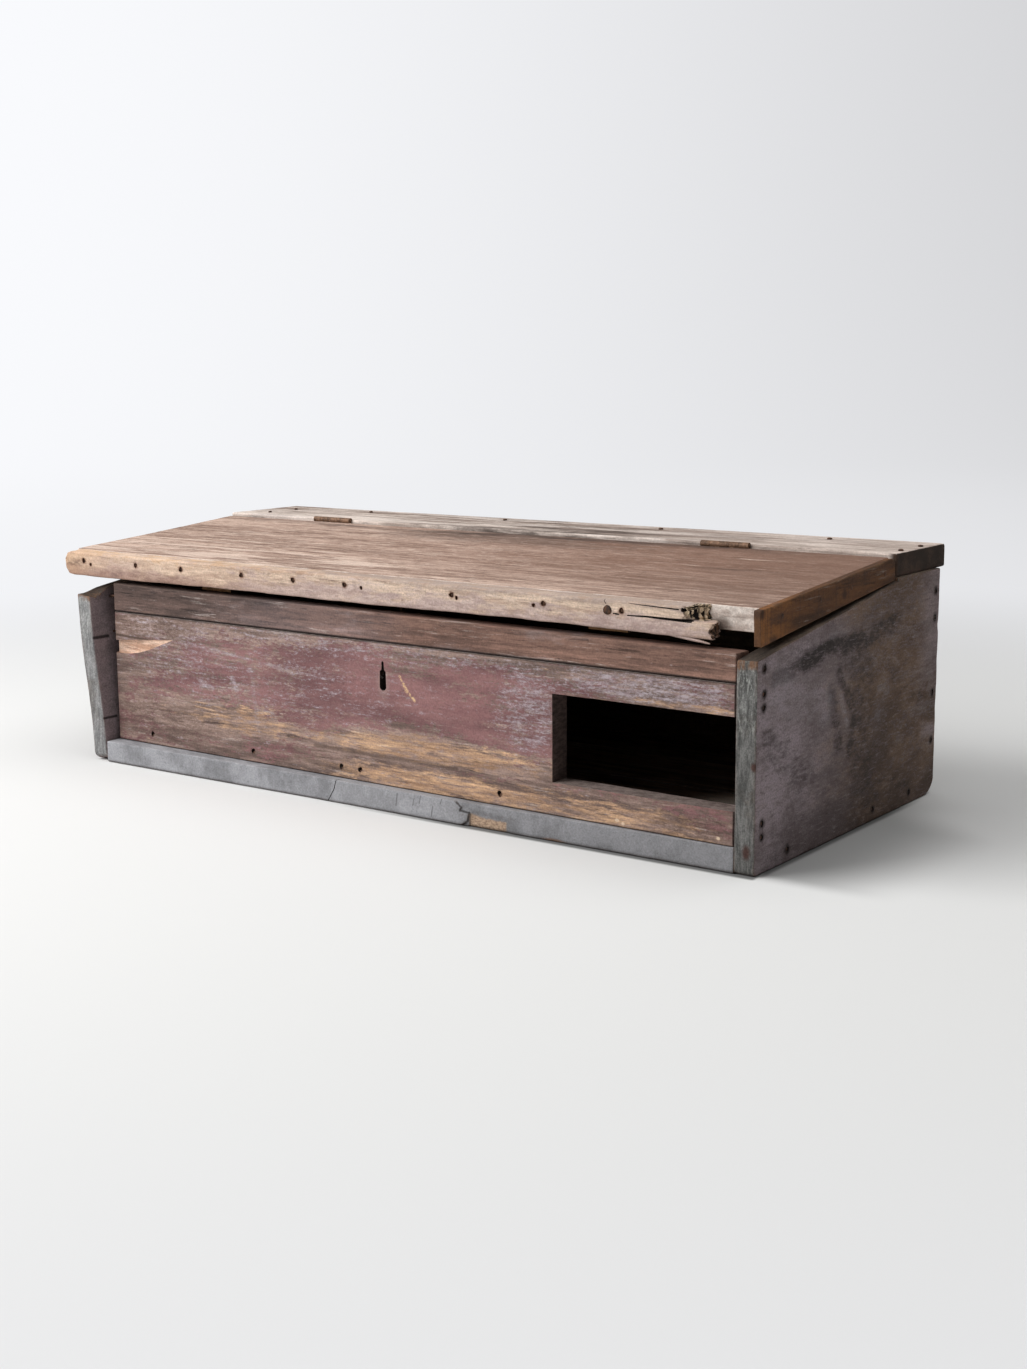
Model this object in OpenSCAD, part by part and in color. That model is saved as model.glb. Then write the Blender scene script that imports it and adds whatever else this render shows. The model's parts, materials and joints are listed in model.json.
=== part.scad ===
// Slant-lidded storage chest of nailed boards.
// Two end boards carry a two-board bottom, a two-board back, a front board with a notched opening and a
// keyhole, a narrow strip above it and a fixed rear board. The lid turns on two butt hinges let into the rear
// board's front edge, and a sprung box lock behind the keyhole catches a staple under the lid.
// Origin on the floor, midway between the end boards and midway along their depth. +Z up, front faces -Y.

/* [Carcass] */
// Width across the outer faces of the end boards, at the floor
chest_w = 900; // [760:5:1100]
// Depth of the end boards from front edge to back edge
chest_d = 412; // [380:2:500]
// Height of the end boards at their front edge
front_h = 203; // [190:1:206]
// Height of the end boards under the rear board
back_h = 249; // [246:1:262]
// Thickness of the end boards
end_t = 22; // [18:0.5:26]
// Outward lean of the left end board, in degrees
left_lean = 5.2; // [0:0.1:6]
// Worn radius at the left end board's front foot
left_foot_r = 12; // [4:1:20]
// Worn radius at the right end board's back foot
right_foot_r = 22; // [8:1:40]

/* [Bottom and back] */
// Thickness of the bottom boards
bottom_t = 25; // [20:0.5:30]
// Width of the front one of the two bottom boards
bottom_front_w = 190; // [140:2:240]
// Thickness of the back boards
back_t = 22; // [16:0.5:26]
// Height of the lower one of the two back boards
back_lower_h = 118; // [80:1:150]
// Shrinkage gap between neighbouring boards
seam = 0.8; // [0.4:0.1:0.9]

/* [Front] */
// Thickness of the front board and of the strip above it
front_t = 25; // [20:0.5:28]
// Height of the front board
front_board_h = 155; // [148:1:158]
// Height of the front strip at its left end
strip_h_left = 33; // [28:0.5:36]
// Height of the front strip at its right end
strip_h_right = 27.5; // [22:0.5:32]
// Set-back of the front face from the end boards' edges, at the left
set_back_left = 19; // [4:0.5:26]
// Set-back of the front face from the end boards' edges, at the right
set_back_right = 1; // [0:0.5:4]
// Gap between the front boards and the right end board
front_gap_right = 0.9; // [0.7:0.1:0.9]
// Gap between the front boards and the left end board, at the floor
front_gap_left = 3; // [2:0.5:6]
// Length of the opening, from the front board's right end
opening_w = 208; // [120:1:300]
// Height of the opening
opening_h = 90; // [60:1:95]
// Height of the sill below the opening
opening_sill = 34; // [26:1:40]
// Length of the chip split out of the front board's left end
chip_len = 96; // [40:1:120]
// Height of that chip at the board's end
chip_h = 14; // [8:0.5:20]
// Depth of that chip at the board's end
chip_d = 5; // [2:0.5:8]
// Distance of that chip's lower edge below the front board's top edge
chip_drop = 48; // [30:1:60]

/* [Keyhole and lock] */
// Distance of the keyhole from the front boards' right end
keyhole_from_right = 430; // [380:1:520]
// Depth of the key's centre below the front board's top edge
key_drop = 46; // [40:0.5:50]
// Height of the keyhole above the key's centre
keyhole_up = 26; // [18:0.5:30]
// Width of the keyhole's slot
keyhole_slot_w = 6.4; // [5:0.1:8]
// Radius of the keyhole's round lower end
keyhole_r = 4.3; // [4:0.1:6]
// Width of the lock case
lock_w = 104; // [102:1:120]
// Height of the lock case
lock_h = 92; // [90:1:96]
// Depth of the lock case, off the front boards
lock_d = 20; // [19:0.5:26]
// Thickness of the lock case's iron
lock_iron = 1.6; // [1.2:0.1:2]
// Height of the lock bolt's bar
bolt_h = 8; // [6:0.5:9]
// Thickness of the lock bolt
bolt_t = 4; // [3:0.5:5]
// Travel of the lock bolt
bolt_travel = 12; // [8:0.5:14]

/* [Rear board] */
// Width of the rear board, front to back
rear_w = 126; // [110:1:140]
// Thickness of the rear board
rear_t = 25; // [23:0.5:28]
// Overhang of the rear board beyond the end boards' back edges
rear_over_back = 18; // [6:1:30]
// Overhang of the rear board and lid beyond the left end board's foot
over_left = 56; // [40:1:80]
// Set-in of the rear board and lid from the right end board's face
set_in_right = 3; // [0:0.5:10]

/* [Lid] */
// Thickness of the lid board
lid_t = 24; // [20:0.5:26]
// Set-back of the lid board's front edge from the end boards' front edges, at the right
lid_set_back = 22; // [18:0.5:26]
// How much shorter the lid board is at its left end
lid_taper = 13; // [0:0.5:16]
// Thickness of the strip nailed along the lid's front edge
lip_t = 19; // [12:0.5:24]
// Height of that strip
lip_h = 29; // [26:0.5:31]
// Length broken off that strip's right end, along its upper half
lip_break_up = 70; // [56:1:120]
// Length broken off that strip's right end, along its lower half
lip_break_low = 46; // [30:1:54]
// Radius of the strip's rounded arrises
lip_r = 4; // [2:0.5:6]
// Thickness of the cleat on the lid's right end
cleat_t = 8; // [6:0.5:12]
// Height of the cleat at its front end
cleat_h_front = 34.5; // [30:0.5:36]
// Height of the cleat at its rear end
cleat_h_rear = 24; // [20:0.5:24]
// Width of the battens under the lid
batten_w = 46; // [36:1:60]
// Thickness of the battens
batten_t = 12; // [10:0.25:14]
// Distance of each batten's middle from the chest's middle
batten_off = 270; // [200:2:300]
// Distance of the battens' rear ends from the lid's rear edge
batten_back = 34; // [24:1:60]

/* [Hinges] */
// Length of a hinge
hinge_len = 60; // [48:1:76]
// Distance of the left hinge's middle from the lid's left end
hinge_in_left = 180; // [120:1:260]
// Distance of the right hinge's middle from the lid's right end
hinge_in_right = 202; // [120:1:260]
// Radius of the hinge barrel
barrel_r = 3.5; // [3.2:0.1:4]
// Radius of the hinge pin
hinge_pin_r = 1.6; // [1.2:0.1:1.8]
// Thickness of a hinge leaf
leaf_t = 2; // [1.6:0.1:2.2]
// Height of a hinge leaf below the pin
leaf_h = 21; // [18:0.5:22]
// Height of the rear board's top above the hinge pin
pin_below_rear = 1.5; // [1:0.1:1.6]
// Height of the hinge pin above the lid's top face
pin_above_lid = 2.5; // [2.4:0.1:3]
// Gap between the lid's rear edge and the rear board
hinge_gap = 2.4; // [2:0.1:2.8]

/* [Fasteners] */
// Radius of a nail's shank
nail_r = 1.5; // [1:0.1:1.8]
// Radius of a nail's head
nail_head_r = 3; // [2.4:0.1:4]
// Thickness of a nail's head
nail_head_t = 1.2; // [0.8:0.1:2]
// Length of the carcass nails
nail_len = 52; // [44:1:56]
// Radius of a screw's shank
screw_r = 1.6; // [1.2:0.1:1.8]
// Radius of a screw's head
screw_head_r = 3.2; // [2.8:0.1:3.6]
// Length of the hinge screws
screw_len = 20; // [14:1:26]
// Clearance round nails, screws and pins
fit = 0.05; // [0.03:0.01:0.08]

/* [Hidden] */
$fn = 48;

// Small overshoot for cuts that pass right through
over = 1;
// Running gap between pieces that pass each other
run_gap = 0.3;

// Paint and metal colours
grey_paint = [0.42, 0.44, 0.45];
mauve_paint = [0.40, 0.36, 0.37];
red_paint = [0.45, 0.30, 0.29];
lid_wood = [0.55, 0.42, 0.34];
pale_wood = [0.66, 0.58, 0.50];
gold_wood = [0.45, 0.31, 0.18];
raw_wood = [0.48, 0.37, 0.27];
iron = [0.24, 0.18, 0.15];

// Carcass levels and faces
right_in = chest_w / 2 - end_t;
front_y = -chest_d / 2;
back_y = chest_d / 2;
front_board_top = bottom_t + front_board_h;
strip_base = front_board_top + seam;

// Inner face of the leaning left end board at height z
function left_in(z) = -chest_w / 2 + end_t / cos(left_lean) - z * tan(left_lean);
// Height along the leaning board that brings its inner corner to height h
function leaning_h(h) = (h - end_t * sin(left_lean)) / cos(left_lean);

// Front boards: their length, and the turn that sets their left ends back
front_len = right_in - front_gap_right - left_in(0) - front_gap_left;
front_turn = asin((set_back_left - set_back_right) / front_len);

// Hinge line, taken from the rear board
rear_front_y = back_y + rear_over_back - rear_w;
rear_top = back_h + rear_t;
axis_y = rear_front_y - hinge_gap / 2;
axis_z = rear_top - pin_below_rear;
lid_rear = -hinge_gap / 2;

// Lid outline, with its length from the pin at the right end
lid_len = axis_y - front_y - lid_set_back;
lid_x0 = -chest_w / 2 - over_left;
lid_x1 = chest_w / 2 - set_in_right;
lid_board_x1 = lid_x1 - cleat_t;
hinge_x = [lid_x0 + hinge_in_left, lid_x1 - hinge_in_right];
// Turn of the lid's front edge, and the length of the strip nailed along it
lip_turn = atan(lid_taper / (lid_board_x1 - lid_x0));
lip_len = (lid_board_x1 - lid_x0) / cos(lip_turn);
// Distance of the lid board's front edge from the pin at place x
function lid_front(x) = lid_len - (lid_board_x1 - x) * tan(lip_turn);

// Lid levels below the pin, square to the lid
lid_top = -pin_above_lid;
lid_under = lid_top - lid_t;
batten_under = lid_under - batten_t;

// The lid rests with its left batten on the front strip, which sets its slope
function strip_top(x) =
    strip_base + strip_h_right + (strip_h_left - strip_h_right) * (right_in - front_gap_right - x) / front_len;
rest_x = -batten_off - batten_w / 2;
rest_reach = lid_front(rest_x);
rest_drop = axis_z - strip_top(rest_x) - run_gap;
lid_slope = acos(-batten_under / norm([rest_drop, rest_reach])) - atan2(rest_reach, rest_drop);

// Shoulder in the end boards' top edge, below the lid's rear edge
shoulder_h = axis_z + lid_under * cos(lid_slope) - 2 * run_gap;

// Lock places, measured in the front boards' own frame
key_z = front_board_top - key_drop;
bolt_z = strip_base + min(strip_h_left, strip_h_right) - bolt_h - 3 * lock_iron;
lock_top = bolt_z + bolt_h + run_gap + lock_iron;
lock_base = lock_top - lock_h;
ear_w = 14;
staple_t = 4;
staple_w = 10;
staple_gap = 1.5;
// The bolt runs in the middle of the staple's eye, clear of the case's back wall
case_back_y = front_t + lock_d - lock_iron;
bolt_y = case_back_y - 2 * run_gap - (staple_w + bolt_t) / 2;

module at_left_end() { translate([-chest_w / 2, 0, 0]) rotate([0, -left_lean, 0]) children(); }
module at_front() { translate([right_in - front_gap_right, front_y + set_back_right, 0]) rotate([0, 0, -front_turn]) children(); }
module at_axis() { translate([0, axis_y, axis_z]) children(); }
module at_lid() { at_axis() rotate([lid_slope, 0, 0]) children(); }
module at_lip() { at_lid() translate([lid_board_x1, -lid_len, 0]) rotate([0, 0, -lip_turn]) children(); }
module at_lock() { at_front() translate([-keyhole_from_right, 0, 0]) children(); }

// An XZ outline given thickness t towards +Y
module upright(t) { translate([0, t, 0]) rotate([90, 0, 0]) linear_extrude(t) children(); }
// A YZ outline given length l towards +X
module along_x(l) { rotate([90, 0, 90]) linear_extrude(l) children(); }
// What a corner at the origin loses when it is worn to radius r, with the wood towards +X +Y
module worn_corner(r) {
    difference() {
        translate([-over, -over]) square(r + over);
        translate([r, r]) circle(r);
    }
}

// Nail standing on z = 0 and driven down, and the hole that it fills
module nail(len) {
    cylinder(h = nail_head_t, r = nail_head_r);
    translate([0, 0, -len]) cylinder(h = len, r = nail_r);
}
module nail_hole(len) { translate([0, 0, -len - fit]) cylinder(h = len + 2 * fit, r = nail_r + fit); }

// Countersunk screw with its head flush at z = 0 and driven down, and its hole
module screw(len) {
    rise = screw_head_r - screw_r;
    translate([0, 0, -rise]) cylinder(h = rise, r1 = screw_r, r2 = screw_head_r);
    translate([0, 0, -len]) cylinder(h = len - rise, r = screw_r);
}
module screw_hole(len) {
    rise = screw_head_r - screw_r;
    translate([0, 0, -rise - fit])
        cylinder(h = rise + fit + over, r1 = screw_r + fit, r2 = screw_head_r + 2 * fit + over);
    translate([0, 0, -len - fit]) cylinder(h = len + 2 * fit, r = screw_r + fit);
}

// Nail places on an end board as [distance from the front edge, height]
end_front_in = set_back_left + front_t / 2;
right_front_in = set_back_right + front_t / 2;
strip_mid = strip_base + min(strip_h_left, strip_h_right) / 2;
tongue_mid = (bottom_t + opening_sill + opening_h + front_board_top) / 2;
sill_mid = bottom_t + opening_sill / 2;
back_mid_y = chest_d - back_t / 2;
bottom_nail_z = bottom_t / 2;
top_nail_drop = 24;
nail_pair = 13;
end_back_z = [
    bottom_t + back_lower_h * 0.3, bottom_t + back_lower_h * 0.75, (bottom_t + back_lower_h + back_h) / 2,
    back_h - top_nail_drop
];
bottom_share = [0.16, 0.62, 0.84];
right_nail_spots = concat(
    [[right_front_in, strip_mid]],
    [for (z = [tongue_mid, sill_mid], s = [-0.5, 0.5]) [right_front_in, z + s * nail_pair]],
    [for (s = bottom_share) [s * chest_d, bottom_nail_z]],
    [for (z = end_back_z) [back_mid_y, z]]);
left_nail_spots = concat(
    [[end_front_in, bottom_t + front_board_h * 0.15], [end_front_in, bottom_t + front_board_h * 0.82],
     [end_front_in, strip_mid]],
    [for (s = bottom_share) [s * chest_d, bottom_nail_z]],
    [for (z = end_back_z) [back_mid_y, z]]);

// Driven from the right face towards -X, and from the leaning left face towards +X
module at_right_nails() {
    for (p = right_nail_spots) translate([chest_w / 2, front_y + p[0], p[1]]) rotate([0, 90, 0]) children();
}
module at_left_nails() {
    at_left_end() for (p = left_nail_spots) translate([0, front_y + p[0], p[1]]) rotate([0, -90, 0]) children();
}
module right_nail_holes() { at_right_nails() nail_hole(nail_len); }
module left_nail_holes() { at_left_nails() nail_hole(nail_len); }

// Toe nails slant down through the front board into the bottom
toe_share = [0.322, 0.545, 0.577, 0.735, 0.931];
toe_height = 13;
toe_slant = 40;
module at_toe_nails() {
    at_front() for (s = toe_share) translate([-s * front_len, 0, bottom_t + toe_height])
        rotate([90 - toe_slant, 0, 0]) children();
}
toe_sunk = nail_head_t + nail_head_r;
module toe_nail_holes() {
    at_toe_nails() {
        nail_hole(nail_len);
        translate([0, 0, -toe_sunk - fit]) cylinder(h = toe_sunk + 3 * nail_head_r, r = nail_head_r + fit);
    }
}
module toe_nail() { translate([0, 0, -toe_sunk]) nail(nail_len - toe_sunk); }

// Rear board nails, down into both end boards and the upper back board
rear_end_share = [0.25, 0.72];
rear_back_share = [0.12, 0.37, 0.63, 0.88];
left_top_mid = (left_in(back_h) - end_t * cos(left_lean) + left_in(back_h)) / 2;
module at_rear_nails() {
    for (s = rear_end_share, x = [left_top_mid, chest_w / 2 - end_t / 2])
        translate([x, rear_front_y + s * (back_y - rear_front_y), rear_top]) children();
    for (s = rear_back_share)
        translate([left_in(back_h) + s * (right_in - left_in(back_h)), back_y - back_t / 2, rear_top]) children();
}
module rear_nail_holes() { at_rear_nails() nail_hole(nail_len); }

module end_profile(foot_front, foot_back, heights) {
    difference() {
        polygon([
            [front_y, 0], [back_y, 0], [back_y, heights[2]], [rear_front_y, heights[2]],
            [rear_front_y, heights[1]], [front_y, heights[0]]
        ]);
        translate([front_y, 0]) worn_corner(foot_front);
        translate([back_y, 0]) mirror([1, 0]) worn_corner(foot_back);
    }
}

module right_end_board() {
    color(mauve_paint) difference() {
        translate([right_in, 0, 0]) along_x(end_t)
            end_profile(left_foot_r / 3, right_foot_r, [front_h, shoulder_h, back_h]);
        right_nail_holes();
        rear_nail_holes();
    }
}

module left_end_board() {
    color(mauve_paint) difference() {
        at_left_end() along_x(end_t)
            end_profile(left_foot_r, left_foot_r, [leaning_h(front_h), leaning_h(shoulder_h), leaning_h(back_h)]);
        left_nail_holes();
        rear_nail_holes();
    }
}

// A bottom board from depth y0 to y1, between the end boards
module bottom_board(y0, y1) {
    color(grey_paint) difference() {
        translate([left_in(0) + seam / 2, y0, 0]) cube([right_in - left_in(0) - seam / 2, y1 - y0, bottom_t]);
        right_nail_holes();
        left_nail_holes();
        toe_nail_holes();
    }
}
module bottom_front_board() { bottom_board(front_y, front_y + bottom_front_w); }
module bottom_rear_board() { bottom_board(front_y + bottom_front_w + seam, back_y); }

// A back board from height z0 to z1, its left end cut to the leaning end board
module back_board(z0, z1) {
    gap = seam / 2;
    color(raw_wood) difference() {
        translate([0, back_y - back_t, 0]) upright(back_t) polygon([
            [left_in(z0) + gap, z0], [right_in, z0], [right_in, z1], [left_in(z1) + gap, z1]
        ]);
        right_nail_holes();
        left_nail_holes();
        rear_nail_holes();
    }
}
module back_lower_board() { back_board(bottom_t, bottom_t + back_lower_h); }
module back_upper_board() { back_board(bottom_t + back_lower_h + seam, back_h); }

module keyhole_outline() {
    circle(keyhole_r);
    translate([-keyhole_slot_w / 2, 0]) square([keyhole_slot_w, keyhole_up - keyhole_slot_w / 2]);
    translate([0, keyhole_up - keyhole_slot_w / 2]) circle(d = keyhole_slot_w);
}

// Chip that follows the rising grain and runs out to the face at its tip
chip_rise = 6;
module end_chip() {
    low = front_board_top - chip_drop;
    translate([-front_len + chip_len, 0, 0]) rotate([0, 0, -atan(chip_d / chip_len)])
        translate([0, -chip_len, 0]) upright(chip_len) polygon([
            [0, low + chip_h + chip_rise], [-chip_len - chip_d, low + chip_h], [-chip_len - chip_d, low],
            [-chip_len / 2, low + chip_rise / 3]
        ]);
}

module front_board() {
    color(red_paint) difference() {
        at_front() upright(front_t) difference() {
            translate([-front_len, bottom_t]) square([front_len, front_board_h]);
            translate([-opening_w, bottom_t + opening_sill]) square([opening_w + over, opening_h]);
            translate([-keyhole_from_right, key_z]) keyhole_outline();
        }
        at_front() end_chip();
        right_nail_holes();
        left_nail_holes();
        toe_nail_holes();
        at_lock_screws() screw_hole(lock_screw_len);
    }
}

module front_strip() {
    color(red_paint) difference() {
        at_front() upright(front_t) polygon([
            [-front_len, strip_base], [0, strip_base], [0, strip_base + strip_h_right],
            [-front_len, strip_base + strip_h_left]
        ]);
        right_nail_holes();
        left_nail_holes();
        at_lock_screws() screw_hole(lock_screw_len);
    }
}

module rear_board() {
    color(pale_wood) difference() {
        translate([lid_x0, rear_front_y, back_h]) cube([lid_x1 - lid_x0, rear_w, rear_t]);
        rear_nail_holes();
        hinge_gains(1);
        at_hinge_screws(1) screw_hole(screw_len);
    }
}

// Butt hinges: knuckles 0, 2, 4 on the fixed leaf and 1, 3 on the lid's leaf
knuckles = 5;
knuckle_gap = 0.3;
knuckle_l = hinge_len / knuckles;
leaf_gap = 0.6;
barrel_gain = 0.4;
hinge_screw_share = [0.18, 0.5, 0.82];
// side is 1 for the fixed leaf, behind the pin, and -1 for the lid's leaf, in front of it
module leaf(x, side) {
    plate_top = -barrel_r - run_gap;
    color(iron) difference() {
        at_axis() translate([x - hinge_len / 2, 0, 0]) difference() {
            union() {
                leaf_plate(side, 0, hinge_len, plate_top);
                for (k = [side > 0 ? 0 : 1 : 2 : knuckles - 1]) {
                    x0 = k * knuckle_l + knuckle_gap / 2;
                    leaf_plate(side, x0, knuckle_l - knuckle_gap, 0);
                    translate([x0, 0, 0]) rotate([0, 90, 0]) cylinder(h = knuckle_l - knuckle_gap, r = barrel_r);
                }
            }
            translate([-over, 0, 0]) rotate([0, 90, 0]) cylinder(h = hinge_len + 2 * over, r = hinge_pin_r + fit);
        }
        at_hinge_screws(side) screw_hole(screw_len);
    }
}
module leaf_plate(side, x0, len, top) {
    translate([x0, side > 0 ? leaf_gap : -leaf_gap - leaf_t, -leaf_h]) cube([len, leaf_t, leaf_h + top]);
}
// Pockets for the leaves and grooves for the barrels in the wood on one side of the hinge line
module hinge_gains(side) {
    for (x = hinge_x) at_axis() translate([x - hinge_len / 2 - run_gap, 0, 0]) {
        translate([0, side > 0 ? 0 : -leaf_gap - leaf_t - fit, -leaf_h - run_gap])
            cube([hinge_len + 2 * run_gap, leaf_gap + leaf_t + fit, leaf_h + run_gap]);
        rotate([0, 90, 0]) cylinder(h = hinge_len + 2 * run_gap, r = barrel_r + barrel_gain);
    }
}
module at_hinge_screws(side) {
    for (x = hinge_x, s = hinge_screw_share)
        at_axis() translate([x + (s - 0.5) * hinge_len, side * leaf_gap, -leaf_h * 0.6])
            rotate([side * 90, 0, 0]) children();
}
module hinge_pin(x) {
    color(iron) at_axis() translate([x - hinge_len / 2, 0, 0]) rotate([0, 90, 0])
        cylinder(h = hinge_len, r = hinge_pin_r);
}
module left_hinge_fixed_leaf() { leaf(hinge_x[0], 1); }
module right_hinge_fixed_leaf() { leaf(hinge_x[1], 1); }
module left_hinge_lid_leaf() { leaf(hinge_x[0], -1); }
module right_hinge_lid_leaf() { leaf(hinge_x[1], -1); }
module left_hinge_pin() { hinge_pin(hinge_x[0]); }
module right_hinge_pin() { hinge_pin(hinge_x[1]); }
module hinge_fixed_screws() { color(iron) at_hinge_screws(1) screw(screw_len); }
module hinge_lid_screws() { color(iron) at_hinge_screws(-1) screw(screw_len); }

// Box lock on the inner face of the front boards
lock_screw_len = 16;
lock_screw_in = ear_w / 2;
module at_lock_screws() {
    at_lock() for (side = [-1, 1], z = [lock_base + lock_screw_in, strip_base + lock_screw_in])
        translate([side * (lock_w / 2 + lock_screw_in), front_t + lock_iron, z]) rotate([-90, 0, 0]) children();
}
slot_w = staple_t + 4 * staple_gap;
ledge_h = 2;
inner_w = lock_w - 2 * lock_iron;
module lock_case() {
    color(iron) difference() {
        at_lock() {
            difference() {
                translate([-lock_w / 2, front_t, lock_base]) cube([lock_w, lock_d, lock_h]);
                translate([-inner_w / 2, front_t - over, lock_base + lock_iron])
                    cube([inner_w, lock_d - lock_iron + over, lock_h - 2 * lock_iron]);
                translate([-slot_w / 2, front_t - over, lock_top - over - lock_iron])
                    cube([slot_w, lock_d - lock_iron + over, 2 * over + lock_iron]);
                translate([0, front_t, key_z]) rotate([-90, 0, 0])
                    cylinder(h = lock_d + over, r = keyhole_slot_w / 2);
            }
            for (side = [0, 1]) mirror([side, 0, 0]) translate([inner_w / 2, front_t, lock_base])
                cube([ear_w + lock_iron, lock_iron, lock_h]);
            bolt_guide(-inner_w / 2 - guide_root, neck_x - run_gap);
            bolt_guide(slot_w / 2 + run_gap, inner_w / 2 + guide_root);
        }
        at_lock_screws() screw_hole(lock_screw_len);
    }
}
// Ledge below the bolt's bar and pad behind it, from x0 to x1, rooted in the case's walls
guide_root = lock_iron / 2;
module bolt_guide(x0, x1) {
    pad_y = bolt_y + bolt_t + run_gap;
    translate([x0, bolt_y, bolt_z - run_gap - ledge_h]) cube([x1 - x0, case_back_y + guide_root - bolt_y, ledge_h]);
    translate([x0, pad_y, bolt_z - run_gap - ledge_h])
        cube([x1 - x0, case_back_y + guide_root - pad_y, ledge_h + bolt_h]);
}
// Bolt at rest: its bar ends just short of the staple, and a neck carries its foot to the key's sweep
bolt_len = 44;
neck_w = 18;
talon_r = 5;
bolt_tip = -staple_t / 2 - staple_gap;
neck_x = bolt_tip - bolt_travel - neck_w;
key_sweep = 18;
foot_low = key_z + key_sweep;
foot_top = bolt_z - bolt_h;
module lock_bolt() {
    color(iron) at_lock() translate([0, bolt_y, 0]) upright(bolt_t) difference() {
        union() {
            translate([bolt_tip - bolt_len, bolt_z]) square([bolt_len, bolt_h]);
            translate([neck_x, foot_low]) square([neck_w, bolt_z - foot_low + over]);
            translate([neck_x, foot_low]) square([-neck_x + talon_r, foot_top - foot_low]);
        }
        translate([-bolt_travel / 2, foot_low]) circle(talon_r);
    }
}
// Leaf spring bowed between the front boards and the bolt's bar
spring_t = 0.8;
spring_len = 30;
spring_in = 2;
spring_h = bolt_h - spring_in;
spring_bow = bolt_y - front_t - 2 * run_gap - spring_t;
spring_arc = (spring_bow * spring_bow + spring_len * spring_len / 4) / (2 * spring_bow);
module lock_spring() {
    color(iron) at_lock() translate([bolt_tip - bolt_len + spring_in, front_t + run_gap, bolt_z + spring_in / 2])
        linear_extrude(spring_h) difference() {
            translate([spring_len / 2, spring_bow + spring_t - spring_arc]) circle(spring_arc);
            translate([spring_len / 2, spring_bow + spring_t - spring_arc]) circle(spring_arc - spring_t);
            translate([-2 * spring_arc, -4 * spring_arc]) square([4 * spring_arc + spring_len, 4 * spring_arc]);
        }
}
module lock_screws() { color(iron) at_lock_screws() screw(lock_screw_len); }

// Carcass nails
module right_end_nails() { color(iron) at_right_nails() nail(nail_len); }
module left_end_nails() { color(iron) at_left_nails() nail(nail_len); }
module front_nails() { color(iron) at_toe_nails() toe_nail(); }
module rear_board_nails() { color(iron) at_rear_nails() nail(nail_len); }

// Lid board: tapered along its front edge, rear edge bevelled to stand upright at rest
module lid_board() {
    bevel = tan(lid_slope) * lid_t;
    color(lid_wood) difference() {
        at_lid() translate([lid_x0, 0, 0]) along_x(lid_board_x1 - lid_x0) polygon([
            [-lid_len, lid_under], [lid_rear - bevel, lid_under], [lid_rear, lid_top], [-lid_len, lid_top]
        ]);
        at_lip() translate([-lip_len - over, -lid_len, lid_under - over])
            cube([lip_len + 2 * over, lid_len, lid_t + 2 * over]);
        hinge_gains(-1);
        at_hinge_screws(-1) screw_hole(screw_len);
        at_lip_nails() nail_hole(lip_nail_len);
        at_cleat_nails() nail_hole(cleat_nail_len);
        at_batten_nails() nail_hole(batten_nail_len);
        at_staple_screws() screw_hole(staple_screw_len);
    }
}

// Front lip: rounded arrises and left end, right end split off in two steps
lip_low = lid_top - lip_h;
split_z = lip_low + lip_h * 0.45;
split_slant = 9;
module lid_lip() {
    r = lip_r;
    color(pale_wood) difference() {
        at_lip() intersection() {
            translate([-lip_len, 0, 0]) along_x(lip_len) difference() {
                translate([-lip_t, lip_low]) square([lip_t, lip_h]);
                translate([-lip_t, lip_low]) worn_corner(r);
                translate([-lip_t, lid_top]) mirror([0, 1]) worn_corner(r);
            }
            translate([0, -lip_t - over, 0]) upright(lip_t + 2 * over) difference() {
                polygon([
                    [-lip_len, lip_low], [-lip_break_low, lip_low], [-lip_break_low, split_z],
                    [-lip_break_up, split_z], [-lip_break_up - split_slant, lid_top], [-lip_len, lid_top]
                ]);
                translate([-lip_len, lip_low]) worn_corner(2 * r);
                translate([-lip_len, lid_top]) mirror([0, 1]) worn_corner(2 * r);
            }
        }
        at_lip_nails() nail_hole(lip_nail_len);
    }
}

// End cleat, deeper towards the front, with its rear top corner worn round
cleat_proud = 0.6;
cleat_front = lid_len + lip_t * 0.7;
cleat_corner_r = 9;
module lid_end_cleat() {
    rear = lid_rear - tan(lid_slope) * cleat_h_rear;
    top = lid_top + cleat_proud;
    color(gold_wood) difference() {
        at_lid() translate([lid_board_x1, 0, 0]) along_x(cleat_t) difference() {
            polygon([[-cleat_front, top - cleat_h_front], [rear, top - cleat_h_rear], [rear, top], [-cleat_front, top]]);
            translate([rear, top]) mirror([1, 0]) mirror([0, 1]) worn_corner(cleat_corner_r);
        }
        at_cleat_nails() nail_hole(cleat_nail_len);
    }
}

// Battens across the underside, cut to the lid board's front edge
module batten(x) {
    color(raw_wood) difference() {
        at_lid() translate([x - batten_w / 2, -lid_len, batten_under])
            cube([batten_w, lid_len + lid_rear - batten_back, batten_t]);
        at_lip() translate([-lip_len - over, -lid_len, batten_under - over])
            cube([lip_len + 2 * over, lid_len, batten_t + 2 * over]);
        at_batten_nails() nail_hole(batten_nail_len);
    }
}
module lid_left_batten() { batten(-batten_off); }
module lid_right_batten() { batten(batten_off); }

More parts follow.
